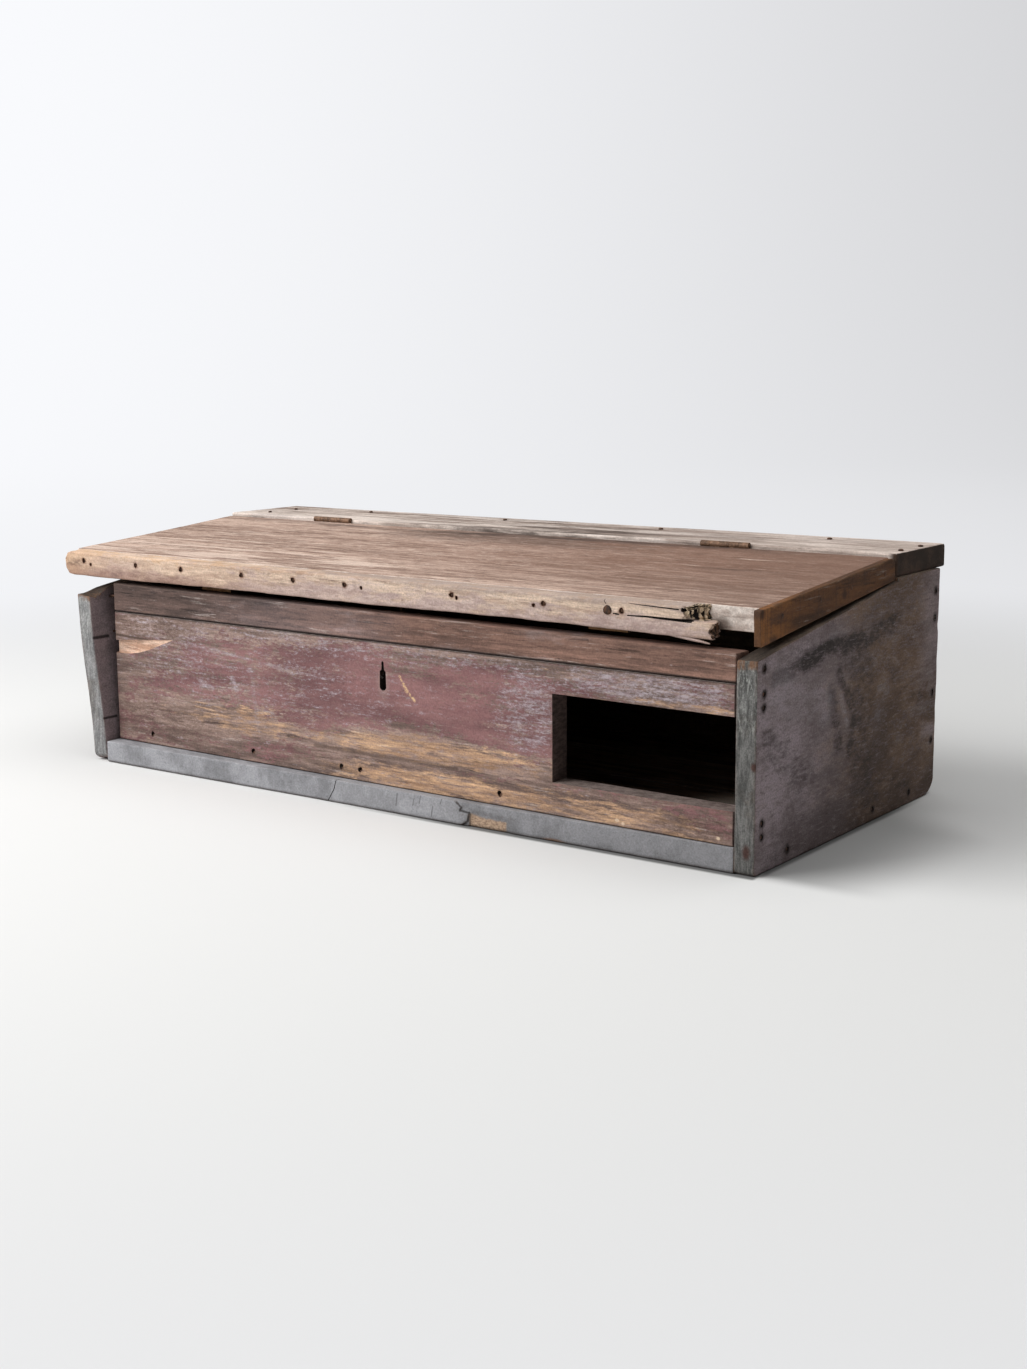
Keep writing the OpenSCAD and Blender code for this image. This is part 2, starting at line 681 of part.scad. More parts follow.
lip_nail_share = [0.038, 0.142, 0.229, 0.34, 0.43, 0.516, 0.683, 0.815, 0.92];
lip_nail_len = 46;
lip_nail_drop = 10;
module at_lip_nails() {
    at_lip() for (s = lip_nail_share)
        translate([-lip_len + s * (lip_len - lip_break_up), -lip_t, lid_top - lip_nail_drop])
            rotate([90, 0, 0]) children();
}
cleat_nail_share = [0.1, 0.38, 0.62, 0.9];
cleat_nail_len = 36;
module at_cleat_nails() {
    at_lid() for (s = cleat_nail_share)
        translate([lid_x1, -s * lid_len, lid_top - lid_t / 2]) rotate([0, 90, 0]) children();
}
batten_nail_share = [0.14, 0.33, 0.52, 0.71, 0.92];
batten_nail_len = 26;
module at_batten_nails() {
    run = lid_front(-batten_off) + lid_rear - batten_back;
    at_lid() for (x = [-batten_off, batten_off], s = batten_nail_share)
        translate([x + batten_w * (s < 0.5 ? -0.2 : 0.2), -lid_front(x) + s * run, batten_under])
            rotate([180, 0, 0]) children();
}
module lip_nails() { color(iron) at_lip_nails() nail(lip_nail_len); }
module cleat_nails() { color(iron) at_cleat_nails() nail(cleat_nail_len); }
module batten_nails() { color(iron) at_batten_nails() nail(batten_nail_len); }

// Staple under the lid: a plate set just behind the lip, and a tongue that hangs plumb into the lock, with an
// eye for the bolt
staple_plate = [46, 24, 2];
staple_behind_lip = 3;
staple_x = right_in - front_gap_right - keyhole_from_right * cos(front_turn);
staple_y = front_y + set_back_right + keyhole_from_right * sin(front_turn) + bolt_y + bolt_t / 2;
staple_plate_y = -lid_front(staple_x) + staple_behind_lip;
staple_screw_len = 14;
staple_screw_in = 7;
eye_h = bolt_h + 2 * staple_gap;
eye_w = bolt_t + 2 * staple_gap;
eye_sill = 3.5;
eye_z = bolt_z + bolt_h / 2;
// Height at depth y of the lid's level z, with the lid at rest
function lid_level(y, z) = axis_z + (z + (y - axis_y) * sin(lid_slope)) / cos(lid_slope);
module lid_staple() {
    tongue_y = [staple_y - staple_w / 2, staple_y + staple_w / 2];
    tongue_low = eye_z - eye_h / 2 - eye_sill;
    tongue_root = lid_under - staple_plate[2] / 2;
    color(iron) difference() {
        union() {
            at_lid() translate([staple_x - staple_plate[0] / 2, staple_plate_y, lid_under - staple_plate[2]])
                cube(staple_plate);
            translate([staple_x - staple_t / 2, 0, 0]) along_x(staple_t) difference() {
                polygon([
                    [tongue_y[0], tongue_low], [tongue_y[1], tongue_low],
                    [tongue_y[1], lid_level(tongue_y[1], tongue_root)],
                    [tongue_y[0], lid_level(tongue_y[0], tongue_root)]
                ]);
                translate([staple_y - eye_w / 2, eye_z - eye_h / 2]) square([eye_w, eye_h]);
            }
        }
        at_staple_screws() screw_hole(staple_screw_len);
    }
}
module at_staple_screws() {
    at_lid() for (side = [-1, 1])
        translate([
            staple_x + side * (staple_plate[0] / 2 - staple_screw_in), staple_plate_y + staple_plate[1] / 2,
            lid_under - staple_plate[2]
        ]) rotate([180, 0, 0]) children();
}
module staple_screws() { color(iron) at_staple_screws() screw(staple_screw_len); }

right_end_board();
left_end_board();
bottom_front_board();
bottom_rear_board();
back_lower_board();
back_upper_board();
front_board();
front_strip();
rear_board();
right_end_nails();
left_end_nails();
front_nails();
rear_board_nails();
left_hinge_fixed_leaf();
left_hinge_pin();
right_hinge_fixed_leaf();
right_hinge_pin();
hinge_fixed_screws();
lock_case();
lock_spring();
lock_screws();
lock_bolt();
lid_board();
lid_lip();
lid_end_cleat();
lid_left_batten();
lid_right_batten();
lip_nails();
cleat_nails();
batten_nails();
left_hinge_lid_leaf();
right_hinge_lid_leaf();
hinge_lid_screws();
lid_staple();
staple_screws();
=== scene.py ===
import json
import math

import bmesh
import bpy
import numpy as np
from mathutils import Matrix, Vector


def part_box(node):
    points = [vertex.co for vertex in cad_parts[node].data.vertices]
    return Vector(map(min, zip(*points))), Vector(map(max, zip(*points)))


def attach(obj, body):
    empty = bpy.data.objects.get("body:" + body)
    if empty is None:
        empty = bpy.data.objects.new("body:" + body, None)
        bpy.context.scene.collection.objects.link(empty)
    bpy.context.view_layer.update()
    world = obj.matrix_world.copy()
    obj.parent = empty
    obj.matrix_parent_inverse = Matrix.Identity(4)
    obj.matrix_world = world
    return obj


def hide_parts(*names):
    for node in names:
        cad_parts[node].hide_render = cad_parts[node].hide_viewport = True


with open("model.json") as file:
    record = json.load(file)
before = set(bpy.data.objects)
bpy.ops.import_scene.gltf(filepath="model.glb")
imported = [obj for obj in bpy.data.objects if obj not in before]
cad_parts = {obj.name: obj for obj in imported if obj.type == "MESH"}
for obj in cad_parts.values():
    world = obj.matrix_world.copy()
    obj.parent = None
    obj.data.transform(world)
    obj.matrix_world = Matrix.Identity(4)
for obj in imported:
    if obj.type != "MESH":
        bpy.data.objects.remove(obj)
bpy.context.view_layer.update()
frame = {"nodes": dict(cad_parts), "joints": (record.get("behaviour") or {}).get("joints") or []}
mm = 0.001


# Bottom boards
# Two wide softwood boards laid side by side between the ends and held by nails driven through those.
# Only the front board's edge shows outside: blue-grey paint with a sprung sliver, a crack and a bare chip.
def lines(start, stop, step, *fine, arris=0.0):
    """Grid places about a step apart from start to stop, closer at the arrises and at fine places."""
    close = [k * arris for k in (0.3, 0.65, 1.0, 1.5)] if arris else []
    fine = np.array([*fine, *(start + c for c in close), *(stop - c for c in close)])
    even = np.linspace(start, stop, max(1, round((stop - start) / step)) + 1)
    clear = [e for e in even if e in (start, stop) or not fine.size or np.abs(fine - e).min() > step * 0.3]
    return np.unique(np.append(clear, fine))


def soften(points, low, high, radius):
    """Rounds the arrises of a grid box from low to high, given as u, v and w."""
    inner = np.clip(points, low + radius, high - radius)
    out = points - inner
    reach = np.linalg.norm(out, axis=1)
    rounded = inner + out * (radius / np.maximum(reach, 1e-12))[:, None]
    return np.where(reach[:, None] > radius * 0.999, rounded, points)


def face_outwards(mesh):
    shell = bmesh.new()
    shell.from_mesh(mesh)
    bmesh.ops.recalc_face_normals(shell, faces=shell.faces)
    shell.to_mesh(mesh)
    shell.free()


def board_mesh(us, vs, ws, arris, place=None, keep=None, rounded=True):
    """A closed board on a grid: u runs along it, v across and w through it, each given as lines or by its
    ends, step and fine places. place() puts the grid's points where the board is, and keep() says which
    cells are wood."""
    us, vs, ws = [along if isinstance(along, np.ndarray) else lines(*along, arris=arris)
                  for along in (us, vs, ws)]
    kept = np.ones((len(us) - 1, len(vs) - 1), bool)
    if keep:
        kept = keep((us[:-1, None] + us[1:, None]) / 2, (vs[None, :-1] + vs[None, 1:]) / 2)
    last = len(ws) - 1
    numbers = {}
    points = []
    faces = []

    def corner(i, j, k):
        if (i, j, k) not in numbers:
            numbers[i, j, k] = len(points)
            points.append((us[i], vs[j], ws[k]))
        return numbers[i, j, k]

    for i, j in zip(*np.nonzero(kept)):
        ring = [(i, j), (i + 1, j), (i + 1, j + 1), (i, j + 1)]
        faces.append([corner(a, b, 0) for a, b in reversed(ring)])
        faces.append([corner(a, b, last) for a, b in ring])
        beyond = [(i, j - 1), (i + 1, j), (i, j + 1), (i - 1, j)]
        for (a, b), (c, d), (ni, nj) in zip(ring, ring[1:] + ring[:1], beyond):
            if 0 <= ni < kept.shape[0] and 0 <= nj < kept.shape[1] and kept[ni, nj]:
                continue
            for k in range(last):
                faces.append([corner(a, b, k), corner(c, d, k), corner(c, d, k + 1), corner(a, b, k + 1)])
    grid = np.array(points)
    if rounded:
        grid = soften(grid, np.array([us[0], vs[0], ws[0]]), np.array([us[-1], vs[-1], ws[-1]]), arris)
    if place:
        grid = np.column_stack(place(*grid.T))
    mesh = bpy.data.meshes.new("board")
    mesh.from_pydata(grid.tolist(), [], faces)
    face_outwards(mesh)
    return mesh


def shade(red, green, blue):
    """A colour as it looks, in steps of 255, as the linear values that a shader takes."""
    steps = np.array([red, green, blue]) / 255
    linear = np.where(steps <= 0.04045, steps / 12.92, ((steps + 0.055) / 1.055) ** 2.4)
    return (*(float(c) for c in linear), 1.0)


class Value:
    """What a node puts out, with plain arithmetic for numbers that change over a surface."""

    def __init__(self, net, socket):
        self.net = net
        self.socket = socket

    def __add__(self, other):
        return self.net.math("ADD", self, other)

    def __sub__(self, other):
        return self.net.math("SUBTRACT", self, other)

    def __rsub__(self, other):
        return self.net.math("SUBTRACT", other, self)

    def __mul__(self, other):
        return self.net.math("MULTIPLY", self, other)

    def __truediv__(self, other):
        return self.net.math("DIVIDE", self, other)

    def fade(self, start, end):
        """0 before start, 1 beyond end, and a smooth change between them."""
        inputs = {"Value": self, "From Min": start, "From Max": end}
        return self.net.node("ShaderNodeMapRange", inputs, interpolation_type="SMOOTHSTEP")

    def tones(self, start, end, first, second):
        """A colour that fades from the first to the second."""
        return self.net.mix(self.fade(start, end), first, second)


class Wires:
    """Adds nodes to one node tree, and joins or sets their inputs as they are made."""

    def __init__(self, tree):
        self.tree = tree

    def put(self, value, target):
        """Joins a value to a socket or sets it there. Three steps of 255 are a colour as it looks."""
        if isinstance(value, Value):
            self.tree.links.new(value.socket, target)
        elif target.type == "RGBA" and len(value) == 3:
            target.default_value = shade(*value)
        else:
            target.default_value = value

    def add(self, kind, inputs=None, **settings):
        made = self.tree.nodes.new(kind)
        for key, value in settings.items():
            setattr(made, key, value)
        for key, value in (inputs or {}).items():
            self.put(value, made.inputs[key])
        return made

    def node(self, kind, inputs=None, out=0, **settings):
        return Value(self, self.add(kind, inputs, **settings).outputs[out])

    def named(self, outputs):
        return {socket.name: Value(self, socket) for socket in outputs}

    def group(self, tree, inputs):
        return self.named(self.add("ShaderNodeGroup", inputs, node_tree=tree).outputs)

    def math(self, operation, first, second=0.0, clamp=False):
        return self.node("ShaderNodeMath", {0: first, 1: second}, operation=operation, use_clamp=clamp)

    def vector(self, operation, first, second=(0.0, 0.0, 0.0)):
        out = "Value" if operation in ("LENGTH", "DOT_PRODUCT") else "Vector"
        return self.node("ShaderNodeVectorMath", {0: first, 1: second}, out, operation=operation)

    def lengthened(self, vector, scale):
        return self.node("ShaderNodeVectorMath", {0: vector, "Scale": scale}, operation="SCALE")

    def parts(self, vector):
        return [Value(self, part) for part in self.add("ShaderNodeSeparateXYZ", {0: vector}).outputs]

    def xyz(self, x, y, z):
        return self.node("ShaderNodeCombineXYZ", {0: x, 1: y, 2: z})

    def noise(self, place, scale=1.0, detail=4, roughness=0.55, distortion=0.0):
        inputs = {"Vector": place, "Scale": scale, "Detail": detail, "Roughness": roughness}
        return self.node("ShaderNodeTexNoise", {**inputs, "Distortion": distortion})

    def drawn(self, place, stretch, detail, roughness, distortion=0.0):
        """Noise drawn out into streaks."""
        return self.noise(self.vector("MULTIPLY", place, stretch), 1.0, detail, roughness, distortion)

    def seeded(self, place, seed, scale, detail, out=0):
        """Noise of which each seed gives another pattern."""
        inputs = {"Vector": place, "W": seed, "Scale": scale, "Detail": detail}
        return self.node("ShaderNodeTexNoise", inputs, out, noise_dimensions="4D")

    def mix(self, factor, first, second, blend="MIX"):
        inputs = {0: factor, 6: first, 7: second}
        return self.node("ShaderNodeMix", inputs, 2, data_type="RGBA", blend_type=blend)

    def coats(self, colour, *coats):
        """A colour with others laid over it in turn, each given after its mask."""
        for mask, over in coats:
            colour = self.mix(mask, colour, over)
        return colour

    def scaled(self, colour, level):
        """A colour made lighter or darker by a value."""
        grey = self.node("ShaderNodeCombineColor", {0: level, 1: level, 2: level})
        return self.mix(1.0, colour, grey, "MULTIPLY")


def new_tree(kind, name, inputs, outputs):
    """A node tree with named sockets: its wires, what it is given and where its results go."""
    tree = bpy.data.node_groups.new(name, kind + "NodeTree")
    for way, sockets in (("INPUT", inputs), ("OUTPUT", outputs)):
        for label, holds in sockets.items():
            tree.interface.new_socket(label, in_out=way, socket_type="NodeSocket" + holds)
    net = Wires(tree)
    return net, net.named(net.add("NodeGroupInput").outputs), net.add("NodeGroupOutput").inputs


def weather_tree():
    """Ages a smooth board: the grain stands up in long ridges, the arrises are bitten and rubbed down."""
    net, given, result = new_tree(
        "Geometry", "weathered_board",
        {"Geometry": "Geometry", "Ridge Height": "Float", "Bite Depth": "Float", "Bite Scale": "Float",
         "Seed": "Float", "Grain": "Vector"},
        {"Geometry": "Geometry"})
    place = net.node("GeometryNodeInputPosition")
    ridge = net.seeded(net.vector("MULTIPLY", place, given["Grain"]), given["Seed"], 1.0, 3.0)
    lift = (ridge - 0.5) * given["Ridge Height"]
    angle = net.node("GeometryNodeInputMeshEdgeAngle", out="Unsigned Angle")
    sharp = net.node("GeometryNodeBlurAttribute", {"Value": angle.fade(0.04, 0.3), "Iterations": 1},
                     data_type="FLOAT")
    chewed = net.seeded(place, given["Seed"], given["Bite Scale"], 4.0)
    bite = chewed.fade(0.46, 0.78) * sharp * given["Bite Depth"]
    move = net.lengthened(net.node("GeometryNodeInputNormal"), lift - bite)
    moved = net.node("GeometryNodeSetPosition", {"Geometry": given["Geometry"], "Offset": move})
    kept = net.node("GeometryNodeStoreNamedAttribute", {"Geometry": moved, "Name": "wear", "Value": sharp},
                    data_type="FLOAT", domain="POINT")
    net.put(kept, result[0])
    return net.tree


weathering = weather_tree()


def add_object(name, data):
    made = bpy.data.objects.new(name, data)
    bpy.context.scene.collection.objects.link(made)
    return made


def grow(piece, tree, values):
    """Gives a piece a node tree, with its named inputs set by each socket's identifier."""
    made = piece.modifiers.new(tree.name, "NODES")
    made.node_group = tree
    for item in tree.interface.items_tree:
        if item.in_out == "INPUT" and item.name in values:
            made[item.identifier] = values[item.name]


def make_plain(piece):
    """Turns a piece with modifiers into a plain mesh of its own."""
    bpy.context.view_layer.update()
    depsgraph = bpy.context.evaluated_depsgraph_get()
    made = bpy.data.meshes.new_from_object(piece.evaluated_get(depsgraph))
    rough = piece.data
    piece.modifiers.clear()
    piece.data = made
    bpy.data.meshes.remove(rough)


def smooth(piece, sharp_from):
    piece.data.shade_smooth()
    piece.data.set_sharp_from_angle(angle=math.radians(sharp_from))


def stands_for(piece, body, slot, *nodes):
    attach(piece, body)
    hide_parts(*nodes)


def loft(rings):
    """Points and faces of a closed form through rings of equal count, with both ends capped."""
    count = len(rings[0])
    points = [tuple(p) for ring in rings for p in ring]
    faces = [list(range(count))[::-1], list(range(len(points) - count, len(points)))]
    for start in range(0, len(points) - count, count):
        for k in range(count):
            after = (k + 1) % count
            faces.append([start + k, start + after, start + count + after, start + count + k])
    return points, faces


def joined_mesh(groups):
    """One mesh of closed forms, from groups of forms that share a finish."""
    mesh = bpy.data.meshes.new("cuts")
    points = []
    faces = []
    numbers = []
    slots = list(dict.fromkeys(finish for forms, finish in groups))
    for forms, finish in groups:
        for form_points, form_faces in forms:
            faces += [[n + len(points) for n in face] for face in form_faces]
            points += form_points
            numbers += [slots.index(finish)] * len(form_faces)
    mesh.from_pydata(points, [], faces)
    mesh.polygons.foreach_set("material_index", numbers)
    for finish in slots:
        mesh.materials.append(finish)
    face_outwards(mesh)
    return mesh


def aged_board(name, stand_in, mesh, finish, ridge, bite, grain, seed, bite_scale=45.0, cuts=(), rust=()):
    """Weathers a board, cuts its holes, each lined with a finish, and marks the wood round rusty nails.
    stand_in is its body, a slot that is not used, and the node that it stands for. Sizes are in millimetres."""
    mesh.materials.append(finish)
    board = add_object(name, mesh)
    grow(board, weathering, {"Ridge Height": ridge * mm, "Bite Depth": bite * mm, "Bite Scale": bite_scale,
                             "Seed": seed, "Grain": grain})
    if cuts:
        cutter = add_object(name + "_cuts", joined_mesh(cuts))
        cutting = board.modifiers.new("cuts", "BOOLEAN")
        cutting.object = cutter
        cutting.solver = "EXACT"
        cutting.material_mode = "TRANSFER"
    make_plain(board)
    if cuts:
        spare = cutter.data
        bpy.data.objects.remove(cutter)
        bpy.data.meshes.remove(spare)
    points = np.array([v.co for v in board.data.vertices])
    stain = np.zeros(len(points))
    for places, spread in rust:
        for centre in places:
            away = np.linalg.norm(points - np.array(centre), axis=1)
            stain = np.maximum(stain, np.exp(-((away / (spread * mm)) ** 2)))
    board.data.attributes.new("stain", "FLOAT", "POINT").data.foreach_set("value", stain.astype(np.float32))
    smooth(board, 38)
    stands_for(board, *stand_in)
    return board


def old_wood_tree():
    """Bare weathered wood with its grain along X: soft bands, fine fibre, dark pores and pale scratches."""
    net, given, result = new_tree(
        "Shader", "old_wood", {"Vector": "Vector", "Light": "Color", "Dark": "Color", "Seed": "Float"},
        {"Color": "Color", "Height": "Float"})
    spot = net.vector("ADD", given["Vector"], net.lengthened((0.37, 0.71, 0.53), given["Seed"]))
    broad = net.drawn(spot, (1.8, 20, 20), 5, 0.6, 0.4)
    band = net.drawn(spot, (9, 110, 110), 7, 0.75)
    fibre = net.drawn(spot, (45, 480, 480), 4, 0.7)
    pore = net.drawn(spot, (22, 230, 230), 5, 0.7).fade(0.58, 0.68)
    scratch = net.drawn(spot, (11, 170, 170), 6, 0.74)
    colour = (broad * 0.35 + band * 0.65).tones(0.42, 0.58, given["Dark"], given["Light"])
    deep = net.mix(1.0, given["Dark"], (140, 130, 125), "MULTIPLY")
    chalky = net.mix(0.45, given["Light"], (240, 230, 222))
    colour = net.coats(net.scaled(colour, fibre * 1.3 + 0.35),
                       (pore * 0.65, deep),
                       (scratch.fade(0.57, 0.68) * 0.55, chalky))
    net.put(colour, result["Color"])
    net.put(band * 0.5 + fibre * 0.5 - pore * 0.5, result["Height"])
    return net.tree


def patch_tree():
    """A soft patch round one place, with a ragged border."""
    net, given, result = new_tree(
        "Shader", "patch", {"Vector": "Vector", "Centre": "Vector", "Reach": "Vector", "Ragged": "Float"},
        {"Mask": "Float"})
    away = net.vector("DIVIDE", net.vector("SUBTRACT", given["Vector"], given["Centre"]), given["Reach"])
    rough = net.noise(given["Vector"], 38, 6, 0.7)
    net.put((net.vector("LENGTH", away) + (rough - 0.5) * given["Ragged"]).fade(1.3, 0.4), result["Mask"])
    return net.tree


def stroke_tree():
    """A ragged stroke from one place to another, for scratches and smears."""
    net, given, result = new_tree(
        "Shader", "stroke",
        {"Vector": "Vector", "Start": "Vector", "End": "Vector", "Width": "Float", "Ragged": "Float"},
        {"Mask": "Float"})
    along = net.vector("SUBTRACT", given["End"], given["Start"])
    reach = net.vector("SUBTRACT", given["Vector"], given["Start"])
    whole = net.vector("DOT_PRODUCT", along, along)
    share = net.math("DIVIDE", net.vector("DOT_PRODUCT", reach, along), whole, True)
    away = net.vector("LENGTH", net.vector("SUBTRACT", reach, net.lengthened(along, share)))
    rough = net.noise(given["Vector"], 90, 6, 0.72)
    net.put((away / given["Width"] + (rough - 0.5) * given["Ragged"]).fade(1.2, 0.3), result["Mask"])
    return net.tree


def worn_paint_tree():
    """Paint rubbed off along the grain: what is left of it, and the pale ground round each bare place."""
    net, given, result = new_tree(
        "Shader", "worn_paint", {"Vector": "Vector", "Cover": "Float", "Seed": "Float"},
        {"Paint": "Float", "Rim": "Float"})
    spot = net.vector("ADD", given["Vector"], net.lengthened((0.53, 0.29, 0.61), given["Seed"]))
    broad = net.drawn(spot, (9, 45, 45), 5, 0.6)
    middle = net.drawn(spot, (60, 190, 190), 6, 0.72)
    small = net.drawn(spot, (190, 560, 560), 4, 0.65)
    above = broad * 0.34 + middle * 0.36 + small * 0.3 - (0.72 - given["Cover"] * 0.44)
    paint = above.fade(-0.04, 0.05)
    net.put(paint, result["Paint"])
    net.put(net.math("SUBTRACT", above.fade(-0.1, -0.02), paint, True), result["Rim"])
    return net.tree


old_wood = old_wood_tree()
patch = patch_tree()
stroke = stroke_tree()
worn_paint = worn_paint_tree()


class Finish(Wires):
    """One material: its shader, its piece's coordinates and normals, and the marks that the piece carries.
    x, y and z are in millimetres. across turns the grain front to back."""

    def __init__(self, name, across=False):
        self.material = bpy.data.materials.new(name)
        self.material.use_nodes = True
        super().__init__(self.material.node_tree)
        self.shader = self.tree.nodes["Principled BSDF"].inputs
        of_piece = self.named(self.add("ShaderNodeTexCoord").outputs)
        self.coords = of_piece["Object"]
        place = self.parts(self.coords)
        self.x, self.y, self.z = [part / mm for part in place]
        self.facing = dict(zip("XYZ", self.parts(of_piece["Normal"])))
        self.along = self.xyz(place[1], place[0], place[2]) if across else self.coords

    def mark(self, name):
        return self.node("ShaderNodeAttribute", out="Fac", attribute_name=name)

    def streaks(self, stretch, detail=5, roughness=0.65):
        return self.drawn(self.coords, stretch, detail, roughness)

    def grain(self, stretch, detail, roughness):
        return self.drawn(self.along, stretch, detail, roughness)

    def wood(self, light, dark, seed):
        return self.group(old_wood, {"Vector": self.along, "Light": light, "Dark": dark, "Seed": seed})

    def worn(self, cover, seed):
        return self.group(worn_paint, {"Vector": self.along, "Cover": cover, "Seed": seed})

    def strongest(self, masks):
        total = masks[0]
        for mask in masks[1:]:
            total = self.math("MAXIMUM", total, mask)
        return total

    def marks(self, tree, labels, rows, ragged):
        """The strongest of several marks of one kind, each row with the marks' inputs and a strength."""
        inputs = {"Vector": self.coords, "Ragged": ragged}
        return self.strongest([self.group(tree, {**inputs, **dict(zip(labels, row))})["Mask"] * row[-1]
                               for row in rows])

    def patches(self, spots, ragged=0.8):
        return self.marks(patch, ("Centre", "Reach"), spots, ragged)

    def strokes(self, runs, ragged=0.8):
        return self.marks(stroke, ("Start", "End", "Width"), runs, ragged)

    def broken(self, mask, ragged):
        """A soft mask broken into blots by a noise, fewer of them where it is weak."""
        return mask * (ragged + mask * 0.16).fade(0.47, 0.7)

    def towards(self, axis, sign):
        """1 on faces that look along an axis, 0 elsewhere."""
        return (self.facing[axis] * sign).fade(0.45, 0.75)

    def rust(self, ragged, strength):
        """Rust round the nails, with a border as ragged as the noise given."""
        return (self.mark("stain") + (ragged - 0.5) * 0.9).fade(0.4, 0.85) * strength

    def done(self, colour, height, depth, roughness=0.8, grit=1.0):
        speck = self.noise(self.coords, 480, 3, 0.7)
        self.put(self.scaled(colour, speck * grit + (1.0 - grit / 2)), self.shader["Base Color"])
        bump = self.node("ShaderNodeBump", {"Height": height, "Distance": depth * mm, "Strength": 1.0})
        self.put(bump, self.shader["Normal"])
        self.put(roughness, self.shader["Roughness"])
        self.put(0.25, self.shader["Specular IOR Level"])
        return self.material


def point(x, y, z):
    return Vector((x * mm, y * mm, z * mm))


def spot(centre, wide, deep, tall, strength):
    """A patch at a centre, with its reach in millimetres."""
    return centre, point(wide, deep, tall), strength


through = 1000
sliver_ends = [(0.0, 108.6), (5.2, 117.0), (14.5, 119.5), (15.5, 107.3), (19.0, 109.0), (25.0, 100.8)]
edge_checks = [(24, 22, 9), (47, 20, 12), (56, 24, 16), (72, 15, 4), (84, 24, 19)]


def grey_edge_finish():
    f = Finish("grey_paint_on_bottom")
    wood = f.wood((140, 120, 104), (84, 72, 64), 0.0)
    worn = f.worn(1.0, 3.0)
    cloud = f.streaks((26, 60, 20), 7, 0.7)
    grit = f.streaks((220, 220, 420), 4)
    at_front = f.towards("Y", -1)
    sprung = f.x.fade(-72, -60) * f.x.fade(112, 104)
    paint = f.coats(
        cloud.tones(0.36, 0.64, (122, 122, 125), (155, 155, 159)),
        (grit.fade(0.55, 0.7) * 0.35, (96, 96, 98)),
        (f.x.fade(-250, 420) * 0.4, (96, 94, 94)),
        (sprung * 0.24, (184, 184, 188)))
    on_top = f.towards("Z", 1) * f.y.fade(-160, -180)
    torn_off = (cloud - 0.5) * 12 + (f.z + f.x * 0.08)
    chip = f.x.fade(117, 120) * f.x.fade(167, 163) * torn_off.fade(24, 21)
    bare = grit.tones(0.38, 0.6, (140, 116, 98), (184, 158, 134))
    rust = f.patches([spot(point(224, -206, 0), 16, through, 3, 0.8)], 0.6)
    jagged = [point(end, -206.8, up) for up, end in sliver_ends]
    split = f.strokes([(a, b, 1.5 * mm, 0.85) for a, b in zip(jagged, jagged[1:])]
                      + [(point(at, -207.2, top), point(at - 2, -207.2, low), 0.9 * mm, 0.5)
                         for at, top, low in edge_checks], 0.6)
    # A painted pool of light on the bottom's inner top face by the right end, where light through the opening
    # falls.
    painted_light_corner = f.patches([spot(point(380, -50, 25), 80, 45, through, 1.0)], 0.4)
    colour = f.coats(
        wood["Color"],
        (worn["Paint"] * f.strongest([at_front, on_top]), paint),
        (chip * at_front, bare),
        (rust, (142, 104, 76)),
        (split * at_front, (44, 40, 40)),
        (f.mark("wear") * grit.fade(0.45, 0.6) * 0.4, (104, 94, 88)),
        # Darker along the foot of the edge: a painted contact shadow.
        (f.z.fade(4, 0.0) * 0.75, (60, 50, 45)),
        (f.towards("Z", 1) * painted_light_corner * 0.8, (214, 200, 186)))
    return f.done(colour, wood["Height"] * 0.5 + worn["Paint"] * 0.5, 0.35, 0.7)


def torn_wood_finish(name, light, dark):
    """Wood inside cracks, chips and pits."""
    f = Finish(name)
    wood = f.wood(light, dark, 13.0)
    return f.done(wood["Color"], wood["Height"], 0.4, 0.9)


dark_split = torn_wood_finish("dark_split_wood", (44, 34, 29), (20, 15, 13))
grey_edge = grey_edge_finish()
bottom_low, bottom_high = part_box("bottom_front_board")
grain_along_x = (4.0, 60.0, 60.0)
crack_top = (-62.6 * mm, 25 * mm)
crack_foot = (-75.5 * mm, 0.0)
crack_wide, crack_deep, crack_tip = 1.5 * mm, 9 * mm, 0.1 * mm
sliver_proud = 1.5 * mm
chip_from, chip_to, chip_up, chip_sunk = 119 * mm, 166 * mm, 13 * mm, 1.2 * mm


def bottom_front_place(x, y, z):
    """The front board's edge stands out as a sprung sliver up to a jagged end, with a chip beyond it."""
    crack = np.interp(z, [crack_foot[1], crack_top[1]], [crack_foot[0], crack_top[0]])
    end = np.interp(z / mm, *zip(*sliver_ends)) * mm
    at_edge = np.clip((bottom_low.y + 4 * mm - y) / (4 * mm), 0, 1)
    sliver = ((x > crack) & (x < end)) * sliver_proud * np.clip((x - crack) / (120 * mm), 0.3, 1)
    chip = ((x > chip_from) & (x < chip_to) & (z < chip_up)) * chip_sunk
    return x, y + at_edge * (chip - sliver), z


crack_line = [(crack_foot[0] - 0.5 * mm, -1 * mm), (-66 * mm, 14 * mm), (crack_top[0] + 0.4 * mm, 26 * mm)]
crack_mouth, crack_floor = bottom_low.y - 3 * mm, bottom_low.y + crack_deep
crack_cut = loft([
    [(x - crack_wide / 2, crack_mouth, z), (x + crack_wide / 2, crack_mouth, z),
     (x + crack_tip, crack_floor, z), (x - crack_tip, crack_floor, z)] for x, z in crack_line])
bottom_us = lines(bottom_low.x, bottom_high.x, 6 * mm, *np.arange(98, 124, 1.2) * mm, arris=1.5 * mm)
bottom_vs = lines(bottom_low.y, bottom_high.y, 10 * mm, arris=1.5 * mm)
bottom_ws = lines(bottom_low.z, bottom_high.z, 3 * mm, arris=1.2 * mm)
aged_board("bottom_front_aged", ("chest", "grey_paint_wood", "bottom_front_board"),
           board_mesh(bottom_us, bottom_vs, bottom_ws, 1.2 * mm, bottom_front_place),
           grey_edge, 0.5, 1.2, grain_along_x, 1.0, cuts=[([crack_cut], dark_split)])
